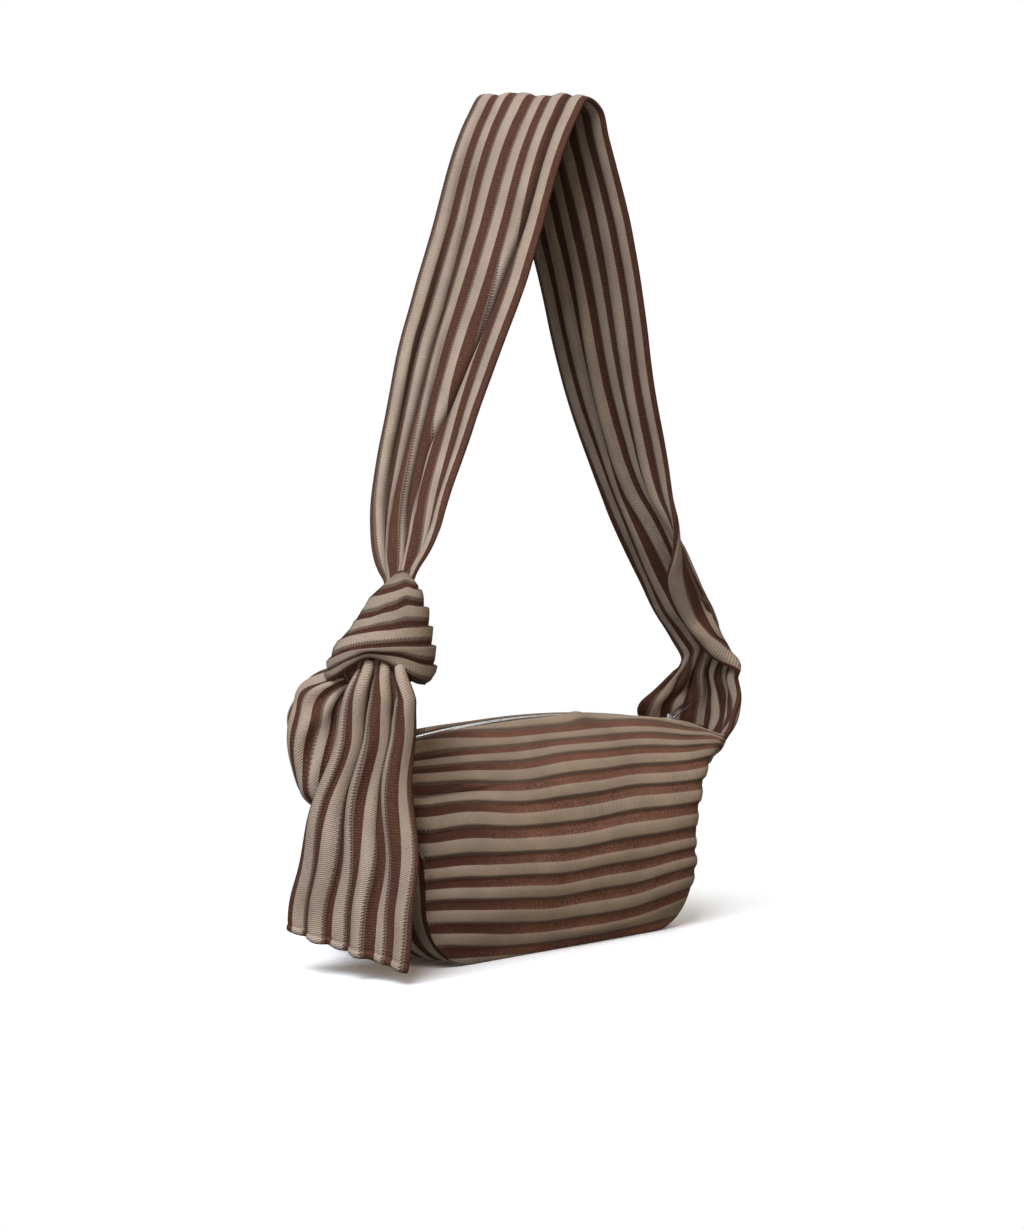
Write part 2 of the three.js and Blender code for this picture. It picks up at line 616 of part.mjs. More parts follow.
// The tail: gathered under the knot, spreading to the full width of the band at its closed hem.
const TAIL_LENGTH = TAIL_HINGE.z - TAIL_FLOOR_GAP;
function tailRing(down) {
  const share = clamp01(down / TAIL_LENGTH);
  const halfWidth = lerp(TAIL_TOP_WIDTH, STRAP_WIDTH, smooth(share, 0, TAIL_SPREAD_END)) / 2;
  const across = TAIL_TOP_ACROSS.clone().lerp(TAIL_FOOT_ACROSS, share).normalize();
  const facing = new THREE.Vector3(across.y, -across.x, 0);
  const middle = TAIL_HINGE.clone()
    .addScaledVector(across, TAIL_SHIFT * share)
    .addScaledVector(facing, TAIL_STANDOFF * share);
  middle.z -= down;
  return bandRing(middle, across, facing, halfWidth, TAIL_THICKNESS, TAIL_BOW * Math.sin(Math.PI * share));
}

function tailBody() {
  const hemTop = TAIL_LENGTH - TAIL_HEM_HEIGHT - SEAM_GAP;
  const radius = TAIL_THICKNESS / 2;
  const roll = new THREE.CylinderGeometry(radius, radius, TAIL_TOP_WIDTH - 2 * ROLL_INSET, ROLL_COLUMNS);
  const turn = new THREE.Quaternion().setFromUnitVectors(new THREE.Vector3(0, 1, 0), TAIL_TOP_ACROSS);
  roll.applyQuaternion(turn).translate(TAIL_HINGE.x, TAIL_HINGE.y, TAIL_HINGE.z);
  return joined([loft(spread(TAIL_STEPS, 0, hemTop).map(tailRing)), roll]);
}

const tailHem = () => loft(spread(2, TAIL_LENGTH - TAIL_HEM_HEIGHT, TAIL_LENGTH).map(tailRing));

// A box given by two opposite corners, in any order.
function boxBetween([x0, y0, z0], [x1, y1, z1], lengthSegments = 1) {
  const size = [Math.abs(x1 - x0), Math.abs(y1 - y0), Math.abs(z1 - z0)];
  const box = new THREE.BoxGeometry(...size, lengthSegments);
  return box.translate((x0 + x1) / 2, (y0 + y1) / 2, (z0 + z1) / 2);
}

// Zip pieces are made lying straight along X and are then bent to the zip's arc.
function bendToZip(geometry) {
  const position = geometry.attributes.position;
  for (let i = 0; i < position.count; i++) {
    position.setXYZ(i, ...zipPoint(position.getX(i), position.getY(i), position.getZ(i)).toArray());
  }
  geometry.computeVertexNormals();
  return geometry;
}

const zipStrip = (low, high) =>
  bendToZip(boxBetween(low, high, Math.ceil(Math.abs(high[0] - low[0]) / ARC_STEP)));

// Two tapes, two rows of teeth, their stops, and fabric tabs over the tape ends.
function zipTape(side) {
  return zipStrip(
    [ZIP_LEFT - TAPE_OVERRUN, side * (TEETH_REACH + SEAM_GAP), -TAPE_THICKNESS / 2],
    [ZIP_RIGHT + TAPE_OVERRUN, side * TAPE_EDGE, TAPE_THICKNESS / 2]
  );
}

// A row of teeth is one comb: a bead along the tape with the teeth standing in from it.
function zipTeeth(side) {
  const root = TEETH_REACH - TEETH_BEAD;
  const half = TOOTH_HEIGHT / 2;
  const phase = side < 0 ? 0 : TOOTH_PITCH / 2;
  const pieces = [zipStrip([ZIP_LEFT, side * root, -half], [ZIP_RIGHT, side * TEETH_REACH, half])];
  for (let x = ZIP_LEFT + TEETH_BEAD + phase; x + TOOTH_LENGTH < ZIP_RIGHT; x += TOOTH_PITCH) {
    const low = [x, (side * TEETH_SLOT) / 2, -half + SINK];
    const high = [x + TOOTH_LENGTH, side * (root + SINK), half - SINK];
    pieces.push(zipStrip(low, high));
  }
  return joined(pieces);
}

function zipTopStop(side) {
  const start = ZIP_RIGHT + SEAM_GAP;
  return zipStrip(
    [start, (side * TEETH_SLOT) / 2, -TOOTH_HEIGHT / 2],
    [start + STOP_LENGTH, side * TEETH_REACH, TOOTH_HEIGHT / 2]
  );
}

function zipBottomStop() {
  const start = ZIP_LEFT - SEAM_GAP;
  return zipStrip(
    [start - STOP_LENGTH, -TEETH_REACH, -TOOTH_HEIGHT / 2],
    [start, TEETH_REACH, TOOTH_HEIGHT / 2]
  );
}

function zipTab(side) {
  const zipEnd = side < 0 ? ZIP_LEFT : ZIP_RIGHT;
  const start = zipEnd + side * (TAPE_OVERRUN + SEAM_GAP);
  return zipStrip(
    [start, -TAPE_EDGE, -TAB_THICKNESS / 2],
    [start + side * TAB_LENGTH, TAPE_EDGE, TAB_THICKNESS / 2]
  );
}

// Turns a rigid piece made at the zip's middle plane to lie along the zip at the slider's place.
function placeOnZip(geometry) {
  const seat = zipPoint(SLIDER_REST_X, 0, 0);
  const angle = (SLIDER_REST_X - ZIP_CROWN_X) / ZIP_ARC_RADIUS;
  return geometry.rotateY(angle).translate(seat.x, seat.y, seat.z);
}

// The slider: two plates joined by a post that runs in the slot between the rows of teeth,
// lips that hold the teeth in, and a bridge that the pull hangs on.
const PLATE_INNER = TOOTH_HEIGHT / 2 + SLIDER_CLEARANCE; // inner face of each plate, from the zip's middle
const PLATE_OUTER = PLATE_INNER + SLIDER_PLATE;
function zipSlider() {
  const halfLength = SLIDER_LENGTH / 2;
  const halfWidth = SLIDER_WIDTH / 2;
  const lipEnd = TAPE_THICKNESS / 2 + SLIDER_CLEARANCE;
  const bridgeUnder = PLATE_OUTER + BRIDGE_CLEAR;
  const bridgeTop = bridgeUnder + BRIDGE_THICKNESS;
  const w = BRIDGE_WIDTH / 2;
  const reach = BRIDGE_LENGTH / 2;
  const post = TEETH_SLOT / 2 - POST_CLEARANCE;
  const parts = [
    boxBetween(
      [halfLength - POST_LENGTH, -post, -PLATE_INNER - SINK],
      [halfLength, post, PLATE_INNER + SINK]
    ),
    boxBetween([-reach, -w, bridgeUnder], [reach, w, bridgeTop]),
  ];
  for (const side of [-1, 1]) {
    const leg = side * (reach - BRIDGE_THICKNESS);
    parts.push(boxBetween([leg, -w, PLATE_OUTER - SINK], [side * reach, w, bridgeTop]));
    parts.push(
      boxBetween([-halfLength, -halfWidth, side * PLATE_INNER], [halfLength, halfWidth, side * PLATE_OUTER])
    );
    for (const edge of [-1, 1]) {
      parts.push(
        boxBetween(
          [-halfLength, edge * (halfWidth - SLIDER_LIP), side * lipEnd],
          [halfLength, edge * halfWidth, side * PLATE_OUTER]
        )
      );
    }
  }
  return placeOnZip(joined(parts));
}

// The pull: a crossbar under the bridge, two arms round it and a flat tab, leaning towards the right end.
const PULL_AXIS_HEIGHT = PLATE_OUTER + BRIDGE_CLEAR / 2;
function zipPull() {
  const half = PULL_THICKNESS / 2;
  const halfWidth = PULL_WIDTH / 2;
  const tabStart = BRIDGE_LENGTH / 2 + PULL_EYE_GAP;
  const parts = [
    new THREE.CylinderGeometry(half, half, PULL_WIDTH, PULL_COLUMNS),
    boxBetween([tabStart, -halfWidth, -half], [PULL_LENGTH, halfWidth, half]),
  ];
  for (const edge of [-1, 1]) {
    const inner = edge * (halfWidth - PULL_ARM);
    parts.push(boxBetween([0, inner, -half], [tabStart + SINK, edge * halfWidth, half]));
  }
  const leaning = joined(parts).rotateY(THREE.MathUtils.degToRad(-PULL_TILT));
  return placeOnZip(leaning.translate(0, 0, PULL_AXIS_HEIGHT));
}

const bag = new THREE.Group();
function add(name, geometry, material) {
  const mesh = new THREE.Mesh(geometry, material);
  mesh.name = name;
  bag.add(mesh);
}

add("front_panel", frontPanel(), knitMaterial());
add("back_panel", backPanel(), knitMaterial());
add("gusset_band", gussetBand(), knitMaterial());
add("strap_root_right", strapRootRight(), knitMaterial());
add("strap_root_left", strapRootLeft(), knitMaterial());
add("knot_wrap", knotWrap(), knitMaterial());
add("knot_core", knotCore(), darkKnitMaterial());
add("lining_front", liningFront(), liningMaterial());
add("lining_back", liningBack(), liningMaterial());
add("lining_gusset", liningGusset(), liningMaterial());
add("zip_tape_front", zipTape(-1), tapeMaterial());
add("zip_tape_back", zipTape(1), tapeMaterial());
add("zip_teeth_front", zipTeeth(-1), metalMaterial());
add("zip_teeth_back", zipTeeth(1), metalMaterial());
add("zip_top_stop_front", zipTopStop(-1), metalMaterial());
add("zip_top_stop_back", zipTopStop(1), metalMaterial());
add("zip_bottom_stop", zipBottomStop(), metalMaterial());
add("zip_tab_right", zipTab(1), darkKnitMaterial());
add("zip_tab_left", zipTab(-1), darkKnitMaterial());
add("zip_slider", zipSlider(), metalMaterial());
add("zip_pull", zipPull(), metalMaterial());
add("long_strap", longStrap(), knitMaterial());
add("tail", tailBody(), knitMaterial());
add("tail_hem", tailHem(), darkKnitMaterial());

export default bag;
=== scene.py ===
import math

import bpy
import numpy as np
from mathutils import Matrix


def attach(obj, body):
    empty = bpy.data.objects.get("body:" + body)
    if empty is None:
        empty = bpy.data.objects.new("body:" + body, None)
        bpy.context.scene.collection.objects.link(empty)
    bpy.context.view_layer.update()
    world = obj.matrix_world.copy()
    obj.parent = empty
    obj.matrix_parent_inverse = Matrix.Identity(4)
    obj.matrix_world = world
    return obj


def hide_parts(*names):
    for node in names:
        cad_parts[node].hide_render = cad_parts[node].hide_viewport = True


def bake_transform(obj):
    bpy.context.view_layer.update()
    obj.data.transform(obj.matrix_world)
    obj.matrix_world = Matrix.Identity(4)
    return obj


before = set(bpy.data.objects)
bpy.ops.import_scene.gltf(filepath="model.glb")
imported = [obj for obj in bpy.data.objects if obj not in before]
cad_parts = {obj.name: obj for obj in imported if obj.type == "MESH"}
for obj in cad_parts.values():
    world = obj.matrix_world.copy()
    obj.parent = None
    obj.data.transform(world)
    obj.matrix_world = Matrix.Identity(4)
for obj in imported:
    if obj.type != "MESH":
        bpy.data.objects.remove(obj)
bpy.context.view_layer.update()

# Studio: a pale floor that fades into a white background, one soft light high on the left, weaker
# ones from the front and from behind, and the camera at the photograph's angle.
CAMERA_PLACE = (-1.69805, -1.52811, 0.36328)
CAMERA_AZIMUTH = -48
CAMERA_DROP = 3.6  # degrees below level
CAMERA_LENS = 100

camera_data = bpy.data.cameras.new("camera")
camera_data.lens = CAMERA_LENS
camera_data.sensor_fit = "VERTICAL"
camera_data.sensor_height = 36
camera = bpy.data.objects.new("camera", camera_data)
camera.location = CAMERA_PLACE
camera.rotation_euler = (math.radians(90 - CAMERA_DROP), 0, math.radians(CAMERA_AZIMUTH))
bpy.context.collection.objects.link(camera)
bpy.context.scene.camera = camera
bpy.context.scene.view_settings.view_transform = "Standard"


def area_light(name, place, aim, size, power, colour=(1, 1, 1)):
    """A square light at place, turned towards aim."""
    data = bpy.data.lights.new(name, "AREA")
    data.size = size
    data.energy = power
    data.color = colour
    light = bpy.data.objects.new(name, data)
    light.location = place
    offset = np.subtract(aim, place)
    level = math.hypot(offset[0], offset[1])
    light.rotation_euler = (math.atan2(level, -offset[2]), 0, math.atan2(offset[1], offset[0]) - math.pi / 2)
    bpy.context.collection.objects.link(light)


area_light("key_light", (-2.1, -0.8, 2.6), (0, 0, 0.2), 1.8, 160, (0.96, 1.0, 1.09))
area_light("front_light", (-0.6, -2.6, 1.9), (0, 0, 0.2), 2.0, 25, (1.0, 0.70, 0.38))
area_light("low_light", (-0.95, -0.45, 0.05), (-0.19, -0.05, 0.10), 0.4, 3.0)
area_light("back_light", (1.3, 2.0, 1.7), (0, 0, 0.2), 2.0, 45)
world = bpy.data.worlds.new("studio")
bpy.context.scene.world = world
world.use_nodes = True
# The background that lights the bag is dimmer than the white one that is seen, by eye or in the metal.
fill, seen = world.node_tree.nodes["Background"], world.node_tree.nodes.new("ShaderNodeBackground")
for background, strength in ((fill, 0.125), (seen, 1.0)):
    background.inputs["Color"].default_value = (1, 1, 1, 1)
    background.inputs["Strength"].default_value = strength
rays = world.node_tree.nodes.new("ShaderNodeLightPath")
choice = world.node_tree.nodes.new("ShaderNodeMixShader")
either = world.node_tree.nodes.new("ShaderNodeMath")
for source, target in (
    (rays.outputs["Is Camera Ray"], either.inputs[0]),
    (rays.outputs["Is Glossy Ray"], either.inputs[1]),
    (either.outputs[0], choice.inputs[0]),
    (fill.outputs[0], choice.inputs[1]),
    (seen.outputs[0], choice.inputs[2]),
    (choice.outputs[0], world.node_tree.nodes["World Output"].inputs[0]),
):
    world.node_tree.links.new(source, target)

# Band under the base and up both ends: one strip of double knit, six light ribs wide, with its two
# edges in the dark yarn. The panels are sewn to its edges, which show as a thin dark line.
MM = 0.001
RIB = 16.0  # one repeat of the stripe
BAND_RIBS = 6
BAND_WALL = 4.0
BASE_HALF, CORNER_WIDE, CORNER_TALL = 92.0, 43.0, 42.0
SEAM_TOP = 121.0
FLARES = {-1: 22.0, 1: 50.0}  # how far out each end leans at its top
DEPTH_LOW, DEPTH_TOP = 47.0, 32.0  # half the distance between the seams, at the base and at the top
BAND_CAMBER, LEFT_CAMBER = 22.0, 7.0
RIB_RISE = 1.5
# The light yarn, a painted lit copy of it, lighter and warmer, and the same in its hollows, and the dark yarn
# likewise.
TAUPE, TAUPE_PAINTED_LIT, TAUPE_SHADE = (0.458, 0.364, 0.281), (0.466, 0.344, 0.220), (0.260, 0.198, 0.152)
BROWN, BROWN_PAINTED_LIT, BROWN_DARK = (0.100, 0.038, 0.023), (0.330, 0.150, 0.098), (0.038, 0.017, 0.011)
# A grey-brown for the openwork line, the stitches' colour, and a painted glint colour for highlights on the
# glitter in the dark yarn.
GREY_BROWN, STITCH, GLINT_PAINTED_COLOUR = (0.140, 0.100, 0.075), (0.010, 0.007, 0.006), (0.50, 0.36, 0.29)
KNIT_ROW, KNIT_COLUMN, MESH_ROW, STITCH_STEP = 1.4, 0.9, 1.9, 2.1


class Wire:
    """A value on its way through a material. The operators add Math nodes, and node adds any other."""

    def __init__(self, tree, socket):
        self.tree = tree
        self.socket = socket

    def node(self, kind, settings, inputs, output=0):
        """Adds a node: its settings first, then the values or links of its sockets. Gives one output."""
        made = self.tree.nodes.new(kind)
        for name, value in settings.items():
            setattr(made, name, value)
        for key, value in inputs.items():
            if isinstance(value, Wire):
                self.tree.links.new(value.socket, made.inputs[key])
            else:
                made.inputs[key].default_value = value
        return Wire(self.tree, made.outputs[output])

    def math(self, operation, first, second=0.0):
        return self.node("ShaderNodeMath", {"operation": operation}, {0: first, 1: second})

    def __add__(self, other):
        return self.math("ADD", self, other)

    __radd__ = __add__

    def __sub__(self, other):
        return self.math("SUBTRACT", self, other)

    def __rsub__(self, other):
        return self.math("SUBTRACT", other, self)

    def __mul__(self, other):
        return self.math("MULTIPLY", self, other)

    def __truediv__(self, other):
        return self.math("DIVIDE", self, other)

    def wave(self):
        """Sine of the value, which is in turns."""
        return self.math("SINE", self * (2 * math.pi))

    def turn(self):
        """The value's part after the whole number."""
        return self.math("FRACT", self)

    def step(self, low, high):
        """0 below low and 1 above high, with a smooth rise between. low may be the larger."""
        return self.node(
            "ShaderNodeMapRange",
            {"interpolation_type": "SMOOTHSTEP"},
            {0: self, 1: low, 2: high, 3: 0.0, 4: 1.0},
        )

    def mix(self, first, second):
        """first where this value is 0 and second where it is 1; both are colours."""
        colours = [c if isinstance(c, Wire) else (*c, 1.0) for c in (first, second)]
        return self.node(
            "ShaderNodeMix", {"data_type": "RGBA"}, {0: self, 6: colours[0], 7: colours[1]}, output=2
        )


def new_material(name, roughness, metallic=0.0, sheen=0.0):
    """An empty material, with its shader, its own coordinates and the cloth's coordinates."""
    material = bpy.data.materials.new(name)
    material.use_nodes = True
    tree = material.node_tree
    shader = tree.nodes["Principled BSDF"]
    shader.inputs["Roughness"].default_value = roughness
    shader.inputs["Metallic"].default_value = metallic
    shader.inputs["Sheen Weight"].default_value = sheen
    shader.inputs["Specular IOR Level"].default_value = 0.5 if metallic else 0.12
    place = Wire(tree, tree.nodes.new("ShaderNodeTexCoord").outputs["Object"])
    cloth = tree.nodes.new("ShaderNodeAttribute")
    cloth.attribute_name = "cloth"
    parts = Wire(tree, cloth.outputs["Vector"]).node(
        "ShaderNodeSeparateXYZ", {}, {0: Wire(tree, cloth.outputs["Vector"])}
    )
    return material, shader, place, [Wire(tree, output) for output in parts.socket.node.outputs]


def noise(place, scale, detail=2.0):
    """Smooth noise about 0.5, in the piece's own space."""
    return place.node("ShaderNodeTexNoise", {}, {"Vector": place, "Scale": scale, "Detail": detail})


def feed(shader, name, wire):
    shader.id_data.links.new(wire.socket, shader.inputs[name])


def scaled(colour, share):
    return tuple(share * part for part in colour)


def knit_material(name):
    """Rib knit. across counts ribs' distance from the band's edge, along runs down the ribs, both in mm.
    One repeat is dark yarn, light yarn, then a grey openwork line and dark yarn again. The cloth's third
    value is up to 1 along the cloth's dark edges and along lines of painted shade in its creases and folds,
    and below 0 where both yarns take their painted lit colours, lighter and warmer."""
    material, shader, place, (along, across, dark_edges_and_painted_shading) = new_material(name, 0.9)
    wobble = noise(place, 55.0)
    phase = (across / RIB + (wobble - 0.5) * 0.03).turn()
    light = phase.step(0.220, 0.250) * phase.step(0.785, 0.755)
    grey = phase.step(0.755, 0.785) * phase.step(0.87, 0.83)
    drift = noise(place, 38.0)
    fuzz = noise(place, 900.0, 3.0)
    fine = noise(place, 3000.0, 1.0)
    rows = ((along + across * 0.5) / KNIT_ROW + wobble * 0.8).wave()
    columns = (across / KNIT_COLUMN).wave()
    # Where the cloth's third value is below 0, both yarns take their painted lit colours, lighter and warmer.
    taupe_painted_lit = (0 - dark_edges_and_painted_shading).mix(TAUPE, TAUPE_PAINTED_LIT)
    taupe = (drift * 1.1 + fuzz * 0.7 - 0.6).mix(TAUPE_SHADE, taupe_painted_lit)
    taupe = (rows * 0.22 + columns * 0.05 + 0.22).mix(taupe, scaled(TAUPE_SHADE, 0.6))
    brown_painted_lit = (0 - dark_edges_and_painted_shading).mix(BROWN, BROWN_PAINTED_LIT)
    dark = (fuzz * 1.5 + drift * 0.5 - 0.55).mix(BROWN_DARK, brown_painted_lit)
    mesh_rows = (along / MESH_ROW + wobble * 0.8).wave() * 0.5 + 0.5
    dark = (mesh_rows * 0.45).mix(dark, BROWN_DARK)
    # Painted glints: small pale specks in the dark yarn standing for highlights on its glitter.
    painted_glint = fine.step(0.66, 0.74) * fuzz.step(0.44, 0.58)
    dark = (painted_glint * 0.5).mix(dark, GLINT_PAINTED_COLOUR)
    dots = ((along + across * 0.6) / STITCH_STEP).wave().step(-0.3, 0.2)
    stitch = dots * phase.step(0.705, 0.720) * phase.step(0.805, 0.785)
    colour = light.mix(dark, taupe)
    colour = (grey * 0.7).mix(colour, GREY_BROWN)
    colour = (stitch * 0.7).mix(colour, STITCH)
    # Dark edges, and the lines of painted shade in creases and folds, darken the colour here.
    colour = dark_edges_and_painted_shading.mix(colour, scaled(BROWN_DARK, 0.5))
    feed(shader, "Base Color", colour)
    height = rows * 0.4 * light + mesh_rows * 0.6 * (1 - light) + fuzz * 0.9 - stitch * 1.4
    bump = height.node("ShaderNodeBump", {}, {"Height": height, "Distance": 0.0004, "Strength": 0.8})
    feed(shader, "Normal", bump)
    feed(shader, "Roughness", 0.82 + fuzz * 0.16)
    return material


knit = knit_material("striped_knit")


def ease(value, low, high):
    """0 below low and 1 above high, with a smooth rise between."""
    share = np.clip((value - low) / (high - low), 0, 1)
    return share * share * (3 - 2 * share)


def mix(a, b, share):
    return a + (b - a) * share


def through(keys, values, at):
    """A smooth line through values at keys: cubic pieces whose slopes at the keys are the central ones."""
    keys, values = np.asarray(keys, float), np.asarray(values, float)
    slopes = np.gradient(values, keys, axis=0)
    i = np.clip(np.searchsorted(keys, at) - 1, 0, len(keys) - 2)
    width = (keys[i + 1] - keys[i]).reshape(-1, *[1] * (values.ndim - 1))
    t = np.clip((at - keys[i]).reshape(width.shape) / width, 0, 1)
    return (
        (1 + 2 * t) * (1 - t) ** 2 * values[i]
        + t * (1 - t) ** 2 * width * slopes[i]
        + t * t * (3 - 2 * t) * values[i + 1]
        + t * t * (t - 1) * width * slopes[i + 1]
    )


def sine(turns):
    return np.sin(2 * np.pi * turns)


def bell(away, width):
    """1 where away is 0, falling off on both sides over about width."""
    return np.exp(-((away / width) ** 2))


def run_length(points):
    """Distance along a line of points, at each of them."""
    return np.concatenate([[0], np.cumsum(np.linalg.norm(np.diff(points, axis=0), axis=1))])


def spread_net(net, row_keys, rows, column_keys, columns, fineness):
    """Fine grid of points over a net: a smooth line down each column of the net, then one across each row,
    read at the nearest of fineness steps to each place in columns, which run from -1 to 1."""
    down = through(row_keys, net, rows)
    dense = through(column_keys, down.transpose(1, 0, 2), np.linspace(-1, 1, fineness + 1))
    picked = np.rint((columns + 1) / 2 * fineness).astype(int)
    return dense[picked, np.arange(len(rows))[:, None]]


def unit(vectors):
    return vectors / np.maximum(np.linalg.norm(vectors, axis=-1, keepdims=True), 1e-9)


def normals(grid):
    """Directions square to a grid of points: the cross product of its two runs."""
    down, over = np.gradient(grid, axis=0), np.gradient(grid, axis=1)
    return unit(np.cross(down, over))


def rib_height(across):
    """Height of the knit from 0 in the middle of a dark rib to 1 on a light one: a raised cosine, made
    fuller by a power."""
    return (0.5 - 0.5 * np.cos(2 * np.pi * across / RIB)) ** 0.6


def stitched(name, front, back, cloth, material, back_shift=0.0):
    """A closed piece of cloth between two grids of points in mm, front and back, joined along all four
    edges. cloth holds each point's distance along and across the ribs; the back's ribs may be shifted."""
    rows, columns = front.shape[:2]
    rings = np.concatenate([front, back[:, ::-1]], axis=1)
    count = 2 * columns
    i, j = np.meshgrid(np.arange(rows - 1), np.arange(count), indexing="ij")
    a, b = i * count + j, i * count + (j + 1) % count
    sides = np.stack([a, b, b + count, a + count], -1).reshape(-1, 4)
    j = np.arange(columns - 1)
    first = np.stack([j, count - 1 - j, count - 2 - j, j + 1], -1)
    faces = np.vstack([sides, first, (rows - 1) * count + first[:, ::-1]])
    points = rings.reshape(-1, 3)
    corners = points[faces]
    volume = np.sum(corners[:, 0] * np.cross(corners[:, 1], corners[:, 2]))
    volume += np.sum(corners[:, 0] * np.cross(corners[:, 2], corners[:, 3]))
    if volume < 0:
        faces = faces[:, ::-1]
    mesh = bpy.data.meshes.new(name)
    mesh.from_pydata((points * MM).tolist(), [], faces.tolist())
    mesh.polygons.foreach_set("use_smooth", np.ones(len(faces), bool))
    values = np.zeros((*rings.shape[:2], 3))
    values[:, :, : cloth.shape[-1]] = np.concatenate([cloth, cloth[:, ::-1]], axis=1)
    values[:, columns:, 1] += back_shift
    attribute = mesh.attributes.new("cloth", "FLOAT_VECTOR", "POINT")
    attribute.data.foreach_set("vector", values.astype(np.float32).ravel())
    mesh.materials.append(material)
    mesh.update()
    piece = bpy.data.objects.new(name, mesh)
    bpy.context.collection.objects.link(piece)
    return piece


def seam_line(flare):
    """Half of the band's edge in XZ, as a dense run of points: level base, a quarter ellipse, then a
    cubic up the side. Gives each point's share of the length, the points and the length."""
    turn = np.linspace(-np.pi / 2, 0, 600)[:, None]
    side = BASE_HALF + CORNER_WIDE
    base = np.linspace(0, BASE_HALF, 400)[:-1, None] * [1, 0]
    corner = np.hstack([BASE_HALF + CORNER_WIDE * np.cos(turn), CORNER_TALL * (1 + np.sin(turn))])
    t = np.linspace(0, 1, 600)[1:, None]
    p = np.array([[side, CORNER_TALL], [side + 1, 78], [side + 0.3 * flare, 105], [side + flare, SEAM_TOP]])
    rise = (1 - t) ** 3 * p[0] + 3 * t * (1 - t) ** 2 * p[1] + 3 * t * t * (1 - t) * p[2] + t**3 * p[3]
    line = np.vstack([base, corner, rise])
    far = run_length(line)
    return far / far[-1], line, far[-1]


SEAMS = {side: seam_line(flare) for side, flare in FLARES.items()}


def seam_at(s, out=0.0):
    """Point on the band's edge in XZ at share s, -1 at the left end's top, 0 under the middle and 1 at
    the right end's top, moved out square to the edge."""
    x, z, nx, nz = (np.zeros_like(s, dtype=float) for _ in range(4))
    at = np.clip(np.abs(s), 0, 1)
    for side, (share, line, _) in SEAMS.items():
        slope = unit(np.gradient(line, share, axis=0))
        mine = (s < 0) if side < 0 else (s >= 0)
        x = np.where(mine, side * np.interp(at, share, line[:, 0]), x)
        z = np.where(mine, np.interp(at, share, line[:, 1]), z)
        nx = np.where(mine, side * np.interp(at, share, slope[:, 1]), nx)
        nz = np.where(mine, -np.interp(at, share, slope[:, 0]), nz)
    return x + nx * out, z + nz * out


def seam_depth(z):
    """Half the distance between the two seams at a height."""
    return mix(DEPTH_LOW, DEPTH_TOP, ease(z, 60, SEAM_TOP))


def band_point(s, v, inset):
    """Point of the band at share s along it and v from -1 at the front seam to 1 at the back one. It
    bulges outwards as a parabola towards the strap, a little more at the left end."""
    _, z = seam_at(s)
    camber = BAND_CAMBER * ease(z, 5, SEAM_TOP) + LEFT_CAMBER * (s < 0) * ease(z, 50, SEAM_TOP)
    x, z_out = seam_at(s, camber * (1 - v * v) - inset)
    return np.stack([x, v * (seam_depth(z) - 0.3), z_out], -1)


SEAM_LENGTH = sum(SEAMS[side][2] for side in SEAMS)
s, v = np.meshgrid(np.linspace(-1, 1, 190), np.linspace(-1, 1, 79), indexing="ij")
across = (v + 1) / 2 * RIB * BAND_RIBS
relief = RIB_RISE * (1 - rib_height(across))
cloth = np.stack([(s + 1) / 2 * SEAM_LENGTH, across], -1)
band = stitched("band", band_point(s, v, relief), band_point(s, v, BAND_WALL - relief * 0.3), cloth, knit)
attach(band, "body")
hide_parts("gusset_band")
SEAM_LENGTH * MM

# Panels: two pieces of the same knit with level ribs, sewn to the band below and to the zip above.
# They swell like a cushion. Towards both top corners their upper ribs draw together.
PANEL_WALL = 4.0
ZIP_CROWN_X, ZIP_TOP, ZIP_ARC = 11.0, 149.0, 925.0
ZIP_LEFT, ZIP_RIGHT = -129.0, 175.0
PANEL_EDGE = 13.0
CORNER_RISE = 7.0
PANEL_SWELL = 28.7
SWELL_TOP = 0.356  # the highest value of t^0.65 (1-t)^0.95
PANEL_RIB_RISE, PANEL_RIB_MIDDLE = 2.3, 0.75
EDGE_RISE, EDGE_RISE_LEFT = 1.6, 2.4
ZIP_FOLD_X, ZIP_FOLD_RISE = 50.0, 2.4
CREASE_HEIGHT, CREASE_DEPTH = 116.0, 3.5
LOW_RIB_RISE, LEFT_RIB_RISE = 7.0, 4.7  # the ribs rise at the lower corners and towards the tail
# Heights, at the middle of the panel, of the points one repeat of the knit apart, from the zip down.
RIB_HEIGHTS = [152, 143.5, 135.3, 125.6, 112.2, 98.5, 82, 64.6, 49.6, 34, 17, 3, -8, -17]
FAN_HEIGHT = 117.0  # the ribs above this height draw together at the corners


def zip_point(x, y, up):
    """Point beside the zip: along its arc, across it, and up square to it."""
    angle = (x - ZIP_CROWN_X) / ZIP_ARC
    radius = ZIP_ARC + up
    along, up = ZIP_CROWN_X + radius * np.sin(angle), ZIP_TOP - ZIP_ARC + radius * np.cos(angle)
    return np.stack([along, y + 0 * x, up], -1)


